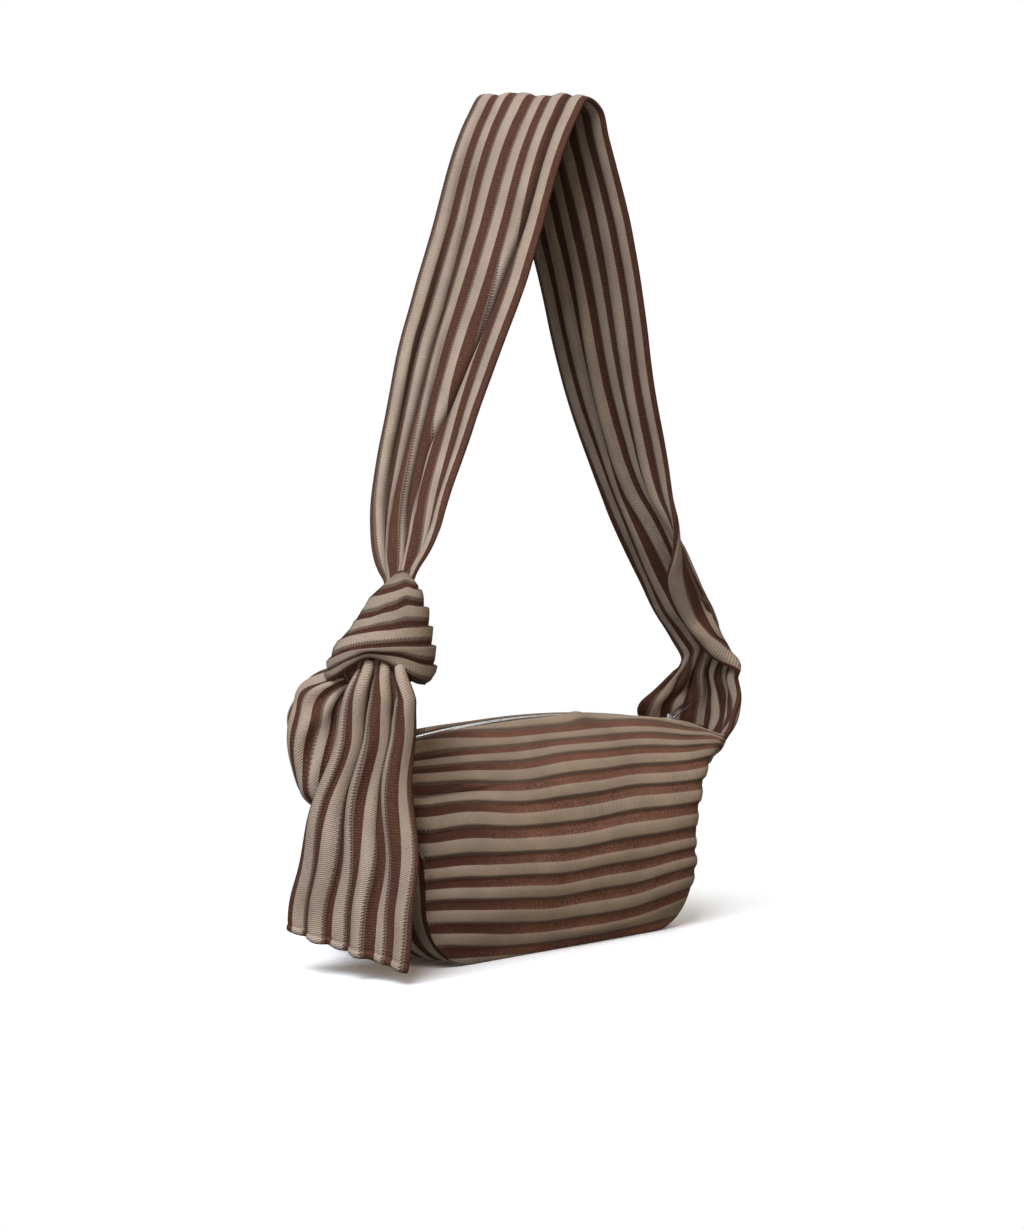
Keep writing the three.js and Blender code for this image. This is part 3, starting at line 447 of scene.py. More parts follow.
def panel_point(s, t, inset, side):
    """Point of a panel at share s along the bag and t from the zip to the seam: the straight line
    between the two edges, swollen outwards by t^0.65 (1-t)^0.95 and by 1-s^4."""
    corner_share = np.abs(s) ** 14
    depth = inset * (1 - corner_share)
    lift = corner_share * 0.6 * (PANEL_WALL - inset)
    corner = BASE_HALF + CORNER_WIDE + np.where(s < 0, FLARES[-1], FLARES[1])
    zip_end = np.where(s < 0, -ZIP_LEFT, ZIP_RIGHT)
    fall = ease(corner * np.abs(s), zip_end - 2.4, corner)
    top_x = corner * s
    top_z = mix(zip_point(top_x, 0, 0)[..., 2], SEAM_TOP + CORNER_RISE, fall)
    top_depth = mix(PANEL_EDGE, DEPTH_TOP, fall)
    seam_x, seam_z = seam_at(s, -depth)
    _, seam_height = seam_at(s)
    reach = 1 - (1 - t) ** (1 + 5 * corner_share)
    hump = t**0.65 * (1 - t) ** 0.95 / SWELL_TOP
    swell = np.maximum(0, PANEL_SWELL * (1 - np.abs(s) ** 4) - inset)
    y = side * (mix(top_depth, seam_depth(seam_height), reach) + swell * hump + lift)
    return np.stack([mix(top_x, seam_x, t), y, mix(top_z - depth, seam_z, t)], -1), top_z


def panel_ribs(height, top):
    """Distance across the ribs at a height: even steps down the middle of the panel, and drawn together
    above the fan's height where the top edge falls."""
    drawn = FAN_HEIGHT + (height - FAN_HEIGHT) * (ZIP_TOP - FAN_HEIGHT) / np.maximum(top - FAN_HEIGHT, 1)
    level = np.where(height > FAN_HEIGHT, drawn, height)
    steps = np.arange(len(RIB_HEIGHTS)) * RIB
    return np.interp(-level, -np.array(RIB_HEIGHTS, float), steps)


def panel_rib_height(across):
    """Height across one repeat: the dark rib rises from a deep upper edge, and the light rib is full and
    round, with its lower edge hanging over the next dark one."""
    keys = [0.0, 0.18, 0.27, 0.42, 0.58, 0.70, 0.77, 0.83, 1.0]
    heights = [0.30, 0.45, 0.80, 1.0, 1.0, 0.92, 0.75, 0.20, 0.30]
    dense = np.linspace(0, 1, 200)
    curve = through(keys, heights, dense)
    return np.interp((across / RIB) % 1, dense, curve)


def outward_of(base, side):
    """Directions square to a panel, away from the bag's middle."""
    outward = normals(base)
    return outward * np.sign(outward[len(base) // 2, base.shape[1] // 2, 1] * side)


def kept_in(layer, base, outward, least, share):
    """A layer inside a panel, moved further in where it is less than least away from the panel's face."""
    gap = np.sum((base - layer) * outward, -1)
    return layer - outward * (share * np.maximum(0, least - gap))[..., None]


s, t = np.meshgrid(np.linspace(-1, 1, 230), np.linspace(0, 1, 150), indexing="ij")
for side, name in ((-1, "front"), (1, "back")):
    base, top = panel_point(s, t, 0, side)
    x, height = base[..., 0], base[..., 2]
    bend = LOW_RIB_RISE * ease(np.abs(x), 60, 140) * ease(height, 70, 20) * ease(height, 0, 20)
    bend += LEFT_RIB_RISE * ease(x, -15, -120)
    ripple = 0.8 * np.sin(x / 31 + height / 40) + 0.4 * np.sin(x / 13 - height / 17 + side)
    ripple *= ease(height, 0, 30) * ease(t, 0.02, 0.2)
    across = panel_ribs(height - bend + ripple, top)
    outward = outward_of(base, side)
    edge = ease(t, 0, 0.03) * ease(1 - t, 0, 0.07) * ease(1 - np.abs(s), 0, 0.18)
    relief = (panel_rib_height(across) - PANEL_RIB_MIDDLE) * PANEL_RIB_RISE
    relief += 0.8 * np.sin(x / 24 + height / 15) + 0.6 * np.sin(x / 37 - height / 9 + 2)
    # A crease runs in from the left corner, where the upper ribs are drawn together.
    from_crease = height - CREASE_HEIGHT - 0.02 * x
    relief -= CREASE_DEPTH * bell(from_crease, 4) * ease(x, -30, -100)
    # The crease gets a line of painted shade. Over the rest of the panel the cloth's third value is below 0,
    # for the painted lit yarn colours, which fade out towards the left end as a painted shadow of the tail.
    line = 0.8 * bell(from_crease, 1.3) * ease(x, -50, -85) - ease(x, -110, -30)
    shell = base + outward * (relief * edge)[..., None]
    # The sewn edge stands up beside the zip, highest where a fold of the front hides the teeth.
    fold = ZIP_FOLD_RISE * (side < 0) * bell(x - ZIP_FOLD_X, 12) + EDGE_RISE_LEFT * ease(x, -20, -100)
    shell[..., 2] += (EDGE_RISE + fold) * ease(t, 0.06, 0.01) * ease(1 - np.abs(s), 0, 0.1)
    shell[..., 1] -= side * 1.5 * ease(t, 0.04, 0) * ease(1 - np.abs(s), 0, 0.1)
    inner, _ = panel_point(s, t, PANEL_WALL, side)
    inner = kept_in(inner, base, outward, PANEL_WALL, edge)
    cloth = np.stack([x + 200, across, line], -1)
    panel = stitched(name + "_knit", shell, inner, cloth, knit)
    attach(panel, "body")
    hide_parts(name + "_panel")

# Lining: plain dark twill, sewn in at the zip, hidden while the zip is shut.
LINING_GAP, LINING_WALL, LINING_REACH = 4.6, 1.2, 0.85
TWILL = (0.030, 0.020, 0.016)


def twill_material():
    """Twill: fine slanted lines, with a little noise."""
    material, shader, place, (along, across, _) = new_material("lining_twill", 0.7, sheen=0.05)
    lines = ((along + across) / 0.9).wave() * 0.5 + 0.5
    colour = (lines * 0.4 + noise(place, 500.0) * 0.4).mix(TWILL, scaled(TWILL, 2.2))
    feed(shader, "Base Color", colour)
    feed(shader, "Normal", lines.node("ShaderNodeBump", {}, {"Height": lines, "Distance": 0.0001}))
    return material


twill = twill_material()
s, t = np.meshgrid(np.linspace(-LINING_REACH, LINING_REACH, 60), np.linspace(0, 1, 24), indexing="ij")
for side, name in ((-1, "front"), (1, "back")):
    base, _ = panel_point(s, t, 0, side)
    outward = outward_of(base, side)
    share = ease(t, 0, 0.06) * ease(1 - t, 0, 0.05)
    outer, inner = [
        kept_in(panel_point(s, t, gap, side)[0], base, outward, gap, share)
        for gap in (LINING_GAP, LINING_GAP + LINING_WALL)
    ]
    piece = stitched("lining_sheet_" + name, outer, inner, outer[..., [0, 2]], twill)
    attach(piece, "body")
    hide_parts("lining_" + name)
    "zip_tape_" + name
s, v = np.meshgrid(np.linspace(-LINING_REACH, LINING_REACH, 60), np.linspace(-0.99, 0.99, 16), indexing="ij")
outer, inner = band_point(s, v, LINING_GAP), band_point(s, v, LINING_GAP + LINING_WALL)
piece = stitched("lining_sheet_base", outer, inner, outer[..., [0, 1]], twill)
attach(piece, "body")
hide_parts("lining_gusset")

# Zip: two dark woven tapes, two rows of silver teeth with their stops, a cast slider and its flat pull.
TAPE = (0.055, 0.038, 0.030)
METAL = (0.48, 0.47, 0.45)


def tape_material():
    """Herringbone tape: two slanted sets of lines that swap along its length."""
    material, shader, place, _ = new_material("woven_tape", 0.75)
    parts = place.node("ShaderNodeSeparateXYZ", {}, {0: place}).socket.node.outputs
    x, y = Wire(place.tree, parts[0]) * 1000, Wire(place.tree, parts[1]) * 1000
    slant = place.math("PINGPONG", y, 1.6)
    lines = ((x + slant) / 1.1).wave() * 0.5 + 0.5
    feed(shader, "Base Color", (lines * 0.5).mix(TAPE, scaled(TAPE, 0.4)))
    feed(shader, "Normal", lines.node("ShaderNodeBump", {}, {"Height": lines, "Distance": 0.0002}))
    return material


def metal_material(name, roughness):
    """Polished zip metal with slightly dull patches."""
    material, shader, place, _ = new_material(name, roughness, metallic=1.0)
    patches = noise(place, 260.0)
    feed(shader, "Base Color", patches.mix(scaled(METAL, 0.75), METAL))
    feed(shader, "Roughness", roughness - 0.06 + patches * 0.16)
    return material


tape = tape_material()
teeth_metal = metal_material("teeth_metal", 0.28)
cast_metal = metal_material("cast_metal", 0.2)
for name, material in (
    ("zip_tape_front", tape),
    ("zip_tape_back", tape),
    ("zip_teeth_front", teeth_metal),
    ("zip_teeth_back", teeth_metal),
    ("zip_top_stop_front", teeth_metal),
    ("zip_top_stop_back", teeth_metal),
    ("zip_bottom_stop", teeth_metal),
    ("zip_slider", cast_metal),
    ("zip_pull", cast_metal),
):
    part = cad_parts[name]
    part.data.materials.clear()
    part.data.materials.append(material)

# Zip tabs: small folded ends of the dark knit over both ends of the tape.
TAB_START, TAB_LENGTH, TAB_HALF, TAB_HIGH = 6.3, 12.0, 12.7, 1.0

u, v = np.meshgrid(np.linspace(0, 1, 24), np.linspace(-1, 1, 30), indexing="ij")
for side, end, name in ((1, ZIP_RIGHT, "right"), (-1, ZIP_LEFT, "left")):
    x = end + side * (TAB_START + TAB_LENGTH * u)
    swell = TAB_HIGH * (0.35 + 0.65 * np.sqrt(1 - (2 * u - 1) ** 8) * np.sqrt(1 - v**8))
    upper, lower = zip_point(x, TAB_HALF * v, swell), zip_point(x, TAB_HALF * v, -swell)
    cloth = np.stack([TAB_HALF * v, 0.6 * (2 * u - 1)], -1)
    tab = stitched("tab_" + name, upper, lower, cloth, knit)
    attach(tab, "body")
    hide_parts("zip_tab_" + name)

# Strap: the band goes on past the body's right end as an open trough, is gathered at its foot, spreads
# to its full width over the shoulder and is gathered again where it goes into the knot. It is a flat
# tube of knit, so both faces are ribbed.
LEFT_FOOT = np.array([-147.0, -33.0, 258.0])
RIGHT_FOOT = np.array([198.0, 0.0, 186.6])
CROWN = np.array([25.0, 0.0, 563.0])
STRAP_WIDTH = 92.0
# Points up each leg, from its foot: shares of the way to the crown, up, along X and across Y.
LEFT_LEG = [
    [0.09, 0.15, 0.48],
    [0.185, 0.267, 0.76],
    [0.285, 0.36, 0.91],
    [0.495, 0.523, 1],
    [0.695, 0.674, 1],
    [0.918, 0.85, 1],
    [0.976, 0.925, 1],
    [0.996, 0.967, 1],
]
RIGHT_LEG = [
    [0.104, 0.156, 1],
    [0.226, 0.329, 1],
    [0.338, 0.439, 1],
    [0.473, 0.56, 1],
    [0.721, 0.719, 1],
    [0.928, 0.892, 1],
    [0.976, 0.938, 1],
    [0.996, 0.971, 1],
]
# Above the right foot the strap's front edge turns over, about FOLD_LINE, onto its inner face.
# FOLD_KEYS are places across the cloth, FOLD_HEIGHTS how far into the loop they then lie.
FOLD_LINE = -0.45
FOLD_KEYS = [-1, -0.88, -0.72, FOLD_LINE, -0.15, 0.2, 0.6, 1]
FOLD_HEIGHTS = [8, 9.5, 5, -1, -2, -1, 0, 0]
FOLD_STRETCH = 1.3  # the folded edge is less gathered than the rest
# Pinch: rows down through the foot, at the fold's places. The folded edge sweeps over to the front.
PINCH = np.array(
    [
        [[181, -13, 194], [180, -19, 196], [184, -24, 197], [190, -27, 197]]
        + [[199, -17, 197], [198, -3, 197], [196, 11, 196], [192, 21, 193]],
        [[190, -20, 181], [190, -26, 184], [194.5, -28, 187], [201, -22.5, 188]]
        + [[207, -12, 188], [206, -1, 187], [202, 8, 184], [197, 15, 178]],
        [[198, -31, 173], [200, -32, 177], [204, -27, 179], [208, -18, 180]]
        + [[209, -8, 180], [206, 2, 180], [200, 9, 177], [191, 13, 173]],
    ],
    float,
)
# Trough: rows from there down to the seam, at five places from the front edge to the back edge.
TROUGH = np.array(
    [
        [[201.5, -31, 166], [207, -16, 168], [207, 0, 169], [198, 9, 169], [184, 14, 167]],
        [[203, -32, 155], [209, -18, 154], [210, 0, 155], [197, 13, 157], [173, 18, 157]],
        [[198.5, -32, 142], [207, -20, 138], [210, 0, 138], [192, 17, 144], [161, 21, 149]],
        [[190.5, -32, 130], [198, -19, 121], [203, 0, 118], [193, 19, 125], [164, 26, 137]],
        [[185, -31, 121.3], [191.9, -15.4, 106.3], [194.2, 0, 101.3], [191.9, 15.4, 106.3], [185, 31, 121.3]],
    ],
    float,
)


def leg_points(foot, shares):
    """Points of a leg's line, from a table whose order is up, along X and across Y."""
    return mix(foot, CROWN, np.array(shares)[:, [1, 2, 0]])


left_points, right_points = leg_points(LEFT_FOOT, LEFT_LEG), leg_points(RIGHT_FOOT, RIGHT_LEG)
route_keys = np.vstack([LEFT_FOOT, left_points, CROWN, right_points[::-1], RIGHT_FOOT])
chords = run_length(route_keys)
dense = through(chords, route_keys, np.linspace(0, chords[-1], 2000))
route_far = run_length(dense)
LOOP_LENGTH = route_far[-1]
CROWN_FAR = route_far[np.argmax(dense[:, 2])]


def route_at(far):
    """Middle of the strap at a distance from the left foot, with its run, its across direction and the
    direction square to both, which points into the loop."""
    middle = np.stack([np.interp(far, route_far, dense[:, k]) for k in range(3)], -1)
    slopes = unit(np.gradient(dense, route_far, axis=0))
    run = unit(np.stack([np.interp(far, route_far, slopes[:, k]) for k in range(3)], -1))
    over = unit(np.array([0, 1.0, 0]) - run * run[:, 1:2])
    return middle, run, over, np.cross(over, run)


# Shares of the full width, at distances up the left leg and up the right leg.
LEFT_SPREAD_FAR = [-30, -8, 0, 12, 28, 45, 72, 98, 125, 170, 215, 320, 400]
LEFT_SPREAD = [0.15, 0.28, 0.39, 0.47, 0.57, 0.64, 0.75, 0.83, 0.88, 1, 1.06, 1.06, 1]
RIGHT_SPREAD_FAR = [0, 20, 65, 92, 137, 194, 250, 330, 430]
RIGHT_SPREAD = [0.51, 0.576, 0.624, 0.64, 0.72, 0.84, 0.94, 1.02, 1]


def half_width(far):
    """Half the strap's width: gathered at both feet, full over the shoulder and spread before it."""
    left = np.interp(far, LEFT_SPREAD_FAR, LEFT_SPREAD)
    right = np.interp(LOOP_LENGTH - far, RIGHT_SPREAD_FAR, RIGHT_SPREAD)
    return STRAP_WIDTH / 2 * left * right


# The strap's lower left end leans to the front and dips behind the top of the knot. Over the shoulder
# its back edge stands higher.
LOW_LEAN = np.array([2.7, -3.0, 0.0])
KNOT_DIP = np.array([7.4, 6.7, 0.0])
SPREAD_LEAN = np.array([0.0, -2.4, 0.0])
CROWN_TILT = 7.0
INNER_SHIFT = 1.3  # the tube's inner layer has turned round by this much
STRAP_COLUMNS = np.linspace(-1, 1, 33)
STRAP_GRID, STRAP_FINENESS = (360, 121), 4800
# The strap's net of points: rows of the loop from inside the knot to above the right foot.
loop_far = np.concatenate([[-34, -20, -8], np.linspace(4, LOOP_LENGTH - 36, 39)])
middle, run, over, inward = route_at(np.maximum(loop_far, 0))
middle = middle + run * np.minimum(loop_far, 0)[:, None]
middle += LOW_LEAN * ease(loop_far, 75, 5)[:, None] + KNOT_DIP * ease(loop_far, 40, -6)[:, None]
middle += SPREAD_LEAN * (ease(loop_far, 160, 215) * ease(loop_far, 400, 330))[:, None]
width = half_width(loop_far)
# The flap in front of the fold line swings over by half a turn on its way down to the foot.
near_right = ease(LOOP_LENGTH - loop_far, 168, 24)[:, None]
fold_turn = np.pi * near_right
flap = np.maximum(0, FOLD_LINE - STRAP_COLUMNS) * mix(1, FOLD_STRETCH, near_right)
line_place = -1 + (1 + FOLD_LINE) * np.maximum(0, np.cos(fold_turn)) ** 2
places = 1 - (1 - STRAP_COLUMNS) * (1 - line_place) / (1 - FOLD_LINE)
places = np.where(STRAP_COLUMNS > FOLD_LINE, places, line_place - flap * np.cos(fold_turn))
fold = 0.6 * flap * width[:, None] * np.sin(fold_turn)
fold += near_right * through(FOLD_KEYS, FOLD_HEIGHTS, STRAP_COLUMNS)
net = middle[:, None] + over[:, None] * (width[:, None] * places)[..., None]
net += inward[:, None] * fold[..., None]
net[..., 2] += CROWN_TILT * bell(loop_far - CROWN_FAR, 60)[:, None] * (1 + STRAP_COLUMNS) / 2
# Below the loop's rows come those of the pinch and of the trough.
pinch = np.stack([through(FOLD_KEYS, row, STRAP_COLUMNS) for row in PINCH])
trough = np.stack([through(np.linspace(-1, 1, 5), row, STRAP_COLUMNS) for row in TROUGH])
net = np.concatenate([net, pinch, trough])
row_far = run_length(net[:, len(STRAP_COLUMNS) // 2]) + loop_far[0]

# A deep crease wanders across the ribs down the left leg. The grid's columns are drawn aside with it,
# v + shift (1 - v^2), so that one column runs down the crease.
CREASE_COLUMN = -0.4
CREASE_FAR = [0, 28, 54, 91, 116, 166, 217, 244, 318, 385]
CREASE_PLACES = [-0.45, -0.32, -0.18, -0.12, -0.29, -0.47, -0.55, -0.65, -0.70, -0.66]
far = np.linspace(row_far[0], row_far[-1], STRAP_GRID[0])
F, V = np.meshgrid(far, np.linspace(-1, 1, STRAP_GRID[1]), indexing="ij")
crease = through(CREASE_FAR, CREASE_PLACES, np.clip(far, 0, CREASE_FAR[-1]))[:, None]
crease = mix(crease, CREASE_COLUMN, ease(far, CREASE_FAR[-1], CREASE_FAR[-1] + 75)[:, None])
V = V + (crease - CREASE_COLUMN) * (1 - V * V) / (1 - CREASE_COLUMN**2)
surface = spread_net(net, row_far, far, STRAP_COLUMNS, V, STRAP_FINENESS)
face = normals(surface)

# Where the strap is gathered the light ribs are folded away a little, so the dark ones look wider. The
# folded edge at the right foot is stretched, and shows more of the light ones.
turns = (V + 1) / 2 * BAND_RIBS
tuck = 0.15 + 0.3 * ease(F, 240, 40) + 0.35 * ease(F, CROWN_FAR, CROWN_FAR + 80)
tuck -= 0.8 * ease(F, LOOP_LENGTH - 200, LOOP_LENGTH - 90) * ease(V, FOLD_LINE + 0.05, FOLD_LINE - 0.1)
across = RIB * (turns - tuck * sine(turns) / (2 * np.pi))
# Long soft waves, deeper towards both gathered feet, and narrower ones in the trough.
left_gather = ease(F, 150, 10) * ease(F, -20, 8)
right_gather = ease(F, LOOP_LENGTH - 300, LOOP_LENGTH - 120) * ease(F, LOOP_LENGTH - 20, LOOP_LENGTH - 70)
trough_gather = ease(F, LOOP_LENGTH + 5, LOOP_LENGTH + 30) * ease(F, row_far[-1], row_far[-1] - 25)
pleat = 3.4 * left_gather * sine(1.5 * (V + 1) + 0.1 + 0.15 * np.sin(F / 60))
pleat += 3.0 * right_gather * sine(1.2 * (V + 1) + 0.15 + 0.2 * np.sin(F / 70))
pleat += 2.2 * trough_gather * sine(2.1 * V + 0.2 + 0.15 * np.sin(F / 9))
pleat += 1.0 * sine(1.1 * V + 0.2 * np.sin(F / 95))
# Pleats: place across, narrowness, depth outwards, how dark the line of painted shade in it is, and where
# along the strap it starts, is deepest and ends.
PLEATS = [
    [0.12, 0.06, -4.5, 1.0, 0, 60, 200],
    [0.42, 0.05, -5.0, 1.0, 0, 90, 320],
    [0.72, 0.05, -4.0, 1.0, 0, 110, 360],
    [0.17, 0.09, -4.0, 0.2, 400, 560, 760],
    [0.50, 0.09, -4.0, 0.2, 385, 480, 700],
    [-0.50, 0.09, -3.0, 0.2, 395, 520, 690],
    [0.68, 0.08, 3.0, 0.8, 765, 800, 850],
    [0.34, 0.08, 4.0, 0.9, 770, 805, 855],
    [0.02, 0.08, 4.0, 0.9, 765, 800, 850],
    [-0.33, 0.06, 2.0, 0.7, 775, 805, 850],
]
# Seen from outside, the ribs stand up a little on the left leg and fold inwards on the right one.
on_left = ease(F, CROWN_FAR + 10, CROWN_FAR - 40) * ease(F, 0, 30)
on_right = ease(F, CROWN_FAR + 5, CROWN_FAR + 50) * ease(F, LOOP_LENGTH, LOOP_LENGTH - 40)
folds = 2 * rib_height(across) - 1
pleat += folds * (0.1 * on_left - 0.7 * on_right * (1 + 0.4 * np.sin(F / 45 + 3 * V)))
# The crease, with a line of painted shade a little behind it.
deep = ease(F, 5, 150) * ease(F, 440, 170)
pleat -= 6.5 * deep * np.exp(-np.abs((V - crease) / 0.07) ** 1.5)
line = deep**0.5 * bell(V - crease - 0.04, 0.045)
for place, narrow, depth, dark, start, peak, end in PLEATS:
    share = ease(F, start, peak) * ease(F, end, peak)
    away = V - place - 0.03 * np.sin(F / 40)
    pleat += depth * share * bell(away, narrow)
    line = np.maximum(line, dark * share**0.5 * bell(away - 0.03 * on_left, 0.025 + 0.015 * on_left))
edge_calm = 1 - 0.6 * np.abs(V) ** 6
# The last stretch sinks into the band's end, to which it is sewn.
sewn = ease(F, row_far[-1] - 14, row_far[-1])
surface = surface + face * (pleat * edge_calm - 2.2 * sewn)[..., None]
face = normals(surface)
# Half the tube's thickness: fuller on the light ribs, thin at both edges and where it is sewn.
thick = np.where(np.abs(V) > 0.985, 1.0, 1.2 + 1.2 * rib_height(across))
thick = mix(thick, 1.0, sewn)
cloth = np.stack([F + 100, across, line], -1)
outer, inner = surface + face * thick[..., None], surface - face * thick[..., None]
strap = stitched("strap_knit", outer, inner, cloth, knit, back_shift=INNER_SHIFT)
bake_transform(strap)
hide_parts("long_strap", "strap_root_right")

# Left root: the band leaves the body's left end, bows outwards and is drawn into the side of the knot.
# Rows from the seam up to the knot, each at five places from the front edge to the back edge.
ROOT_NET = np.array(
    [
        [[-157, -31, 121.3], [-172.6, -15.4, 106.2], [-177.8, 0, 101.1]]
        + [[-172.6, 15.4, 106.2], [-157, 31, 121.3]],
        [[-162, -29, 130], [-187, -14, 120], [-196, 2, 117], [-187, 17, 121], [-168, 32, 132]],
        [[-170, -25, 147], [-190, -12, 147], [-201, 4, 148], [-191, 19, 150], [-175, 31, 150]],
        [[-172, -23, 160], [-191, -12, 164], [-202, 4, 168], [-191, 18, 170], [-177, 28, 166]],
        [[-172, -24, 169], [-188, -14, 176], [-196, 1, 182], [-184, 13, 184], [-173, 22, 180]],
        [[-168, -28, 179], [-178, -21, 185], [-181, -12, 191], [-172, -3, 194], [-166, 5, 191]],
        [[-156, -34, 186], [-158, -30, 190], [-160, -26, 196], [-156, -20, 198], [-152, -16, 194]],
    ],
    float,
)
ROOT_SLIDE, ROOT_FINENESS = 0.4, 2400
ROOT_LENGTH = 125.0  # along the ribs
root_rows, root_columns = np.linspace(0, 1, len(ROOT_NET)), np.linspace(-1, 1, len(ROOT_NET[0]))
u, v = np.meshgrid(np.linspace(0, 1, 110), np.linspace(-1, 1, 79), indexing="ij")
# Towards the knot the ribs are drawn to the front edge: v - slide (1 - v^2).
drawn = v - ROOT_SLIDE * (1 - v * v) * ease(u, 0.05, 0.5)
surface = spread_net(ROOT_NET, root_rows, u[:, 0], root_columns, drawn, ROOT_FINENESS)
face = normals(surface)
face *= np.sign(-face[30, 39, 0])  # outwards, which is to the left
across = (v + 1) / 2 * RIB * BAND_RIBS
gather = ease(u, 0.35, 0.8)
relief = (rib_height(across) - 1) * mix(RIB_RISE, 3.2, ease(u, 0, 0.4))
pleat = 2.2 * gather * sine(1.5 * v + 0.2)
loose = ease(u, 0.1, 0.3) * ease(u, 0.95, 0.6)
pleat += 1.6 * loose * sine(2.6 * u + 0.5 * v + 0.3 * np.sin(5 * v))
outer = surface + face * (relief + pleat)[..., None]
inner = surface + face * (pleat - BAND_WALL)[..., None]
cloth = np.stack([u * ROOT_LENGTH, across], -1)
left_root = stitched("left_root", outer, inner, cloth, knit)
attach(left_root, "body")
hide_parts("strap_root_left")

# Knot: the band turns once round the gathered strap. Its six ribs spread over the front, draw together
# at the left, and its lower edge arches over the tail.
KNOT_BASE = np.array([-158.0, -34.0, 182.0])
KNOT_OVER = np.array([0.669, -0.743, 0.0])
KNOT_OUT = np.array([-0.743, -0.669, 0.0])
# Height, middle across, half width and half depth of the knot.
KNOT_SHAPE = np.array(
    [
        [170, -4, 29, 22],
        [184, -4.6, 33.2, 27],
        [192, -3, 35, 28.5],
        [200, -1.8, 34.4, 28],
        [208, -0.5, 32.2, 27],
        [215, 1.8, 28.7, 24],
        [222, 4.5, 25, 21],
        [231, 6.3, 21.4, 18],
        [241, 8, 16.2, 14],
        [247, 10, 11.5, 10],
        [253, 10.5, 5.5, 5],
        [257, 11, 1.5, 1.5],
    ]
)
# Heights of the turned band's lip, of the five dark lines between its ribs and of its top edge, at
# angles round the knot from its right side.
KNOT_ANGLES = [0, 0.8, 1.2, 1.57, 1.9, 2.2, 2.55, 2.9, 3.14, 3.7, 4.7, 5.5, 6.2832]
KNOT_LINES = np.array(
    [
        [184, 197, 210, 222, 234, 245, 256],
        [188, 200, 210.7, 222.7, 235.5, 246, 256],
        [194.5, 204, 211, 222.7, 236.5, 247.5, 256.5],
        [201, 205.5, 210.5, 221.4, 233.3, 246, 256.5],
        [202.5, 205.7, 209.8, 220.5, 231.5, 244.5, 256.5],
        [197, 201.8, 208.4, 219, 229, 243, 256],
        [190, 196.5, 205, 217, 227.5, 242, 256],
        [187, 193, 201, 214, 226, 241, 256],
        [186, 192, 200, 213, 225.5, 241, 256],
        [187, 196, 205, 217, 229, 242, 256],
        [190, 200, 210, 221, 232, 244, 256],
        [187, 198, 209, 221, 233, 245, 256],
        [184, 197, 210, 222, 234, 245, 256],
    ]
)


def knot_point(angle, z, inset):
    """Point of the knot at an angle round it and a height: an ellipse that follows the shape's table."""
    middle, wide, deep = [np.interp(z, KNOT_SHAPE[:, 0], KNOT_SHAPE[:, k]) for k in (1, 2, 3)]
    wide, deep = np.maximum(wide - inset, 0.6), np.maximum(deep - inset, 0.6)
    centre = KNOT_BASE + KNOT_OVER * middle[..., None]
    centre[..., 2] = z
    aside, out = (wide * np.cos(angle))[..., None], (deep * np.sin(angle))[..., None]
    return centre + KNOT_OVER * aside + KNOT_OUT * out


# One turn of rib, upwards from the fold below it: places in the cloth, places on the knot, and height.
# The dark yarn slopes out of the fold and the light rib's upper edge drops steeply into the next one.
TURN_CLOTH = [0, 0.10, 0.22, 0.32, 0.60, 0.76, 0.82, 0.92, 1.0]
TURN_PLACE = [0, 0.16, 0.34, 0.46, 0.74, 0.90, 0.94, 0.98, 1.0]
TURN_HEIGHT = [-3.6, -2.4, -1.4, -0.7, 0.5, 1.2, 0.6, -3.0, -3.6]
angle, v = np.meshgrid(np.linspace(0, 2 * np.pi, 200), np.linspace(0, 1, 181), indexing="ij")
across = (1 - v) * RIB * BAND_RIBS
turn = v * BAND_RIBS
in_turn = np.where(v == 1, 1, turn % 1)
place = turn - in_turn + np.interp(in_turn, TURN_CLOTH, TURN_PLACE)
lines = through(KNOT_ANGLES, KNOT_LINES, angle[:, 0])
z = through(np.arange(BAND_RIBS + 1), lines.T, place[0]).T
surface = knot_point(angle, z, 0)
out = unit(surface - knot_point(angle, z, 9) + [0, 0, 1e-4])
rise = ease(z, 256, 236)
roll = 3.0 * ease(v, 0.03, 0.0)
# The band's other edge shows as a dark line up the knot's left side.
selvedge = bell(angle - 2.93, 0.07) * ease(z, 200, 210) * ease(z, 254, 248)
# The lowest rib is the lip, which has no fold below it.
lip = np.interp(in_turn, TURN_CLOTH[2:], TURN_HEIGHT[2:])
relief = rise * np.where(v < 0.5 / BAND_RIBS, lip, np.interp(in_turn, TURN_CLOTH, TURN_HEIGHT))
relief *= 0.6 + 0.4 * np.abs(np.sin(angle))
outer = surface + out * mix(relief - roll, 0.3, selvedge)[..., None]
inner = knot_point(angle, z + 1.5 * (1 - v), 6)
# Besides the dark selvedge, each fold between the ribs gets a line of painted shade.
line = np.maximum(0.7 * selvedge, rise * bell(in_turn - 0.93, 0.07))
cloth = np.stack([angle * 32, across, line], -1)
knot = stitched("knot_turn", outer, inner, cloth, knit)
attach(knot, "body")
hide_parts("knot_wrap")

# Heart of the knot: the gathered dark cloth that shows under the lip.
angle, share = np.meshgrid(np.linspace(0, np.pi, 60), np.linspace(0, 1, 40), indexing="ij")
z = mix(176, 240, share)
shrink = 9 + 14 * ease(share, 0.25, 0.0)
front = knot_point(angle, z, shrink)
back = knot_point(-angle, z, shrink)
cloth = np.stack([z, 3 * np.sin(14 * angle)], -1)
heart = stitched("knot_heart", front, back, cloth, knit)
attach(heart, "body")
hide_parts("knot_core")

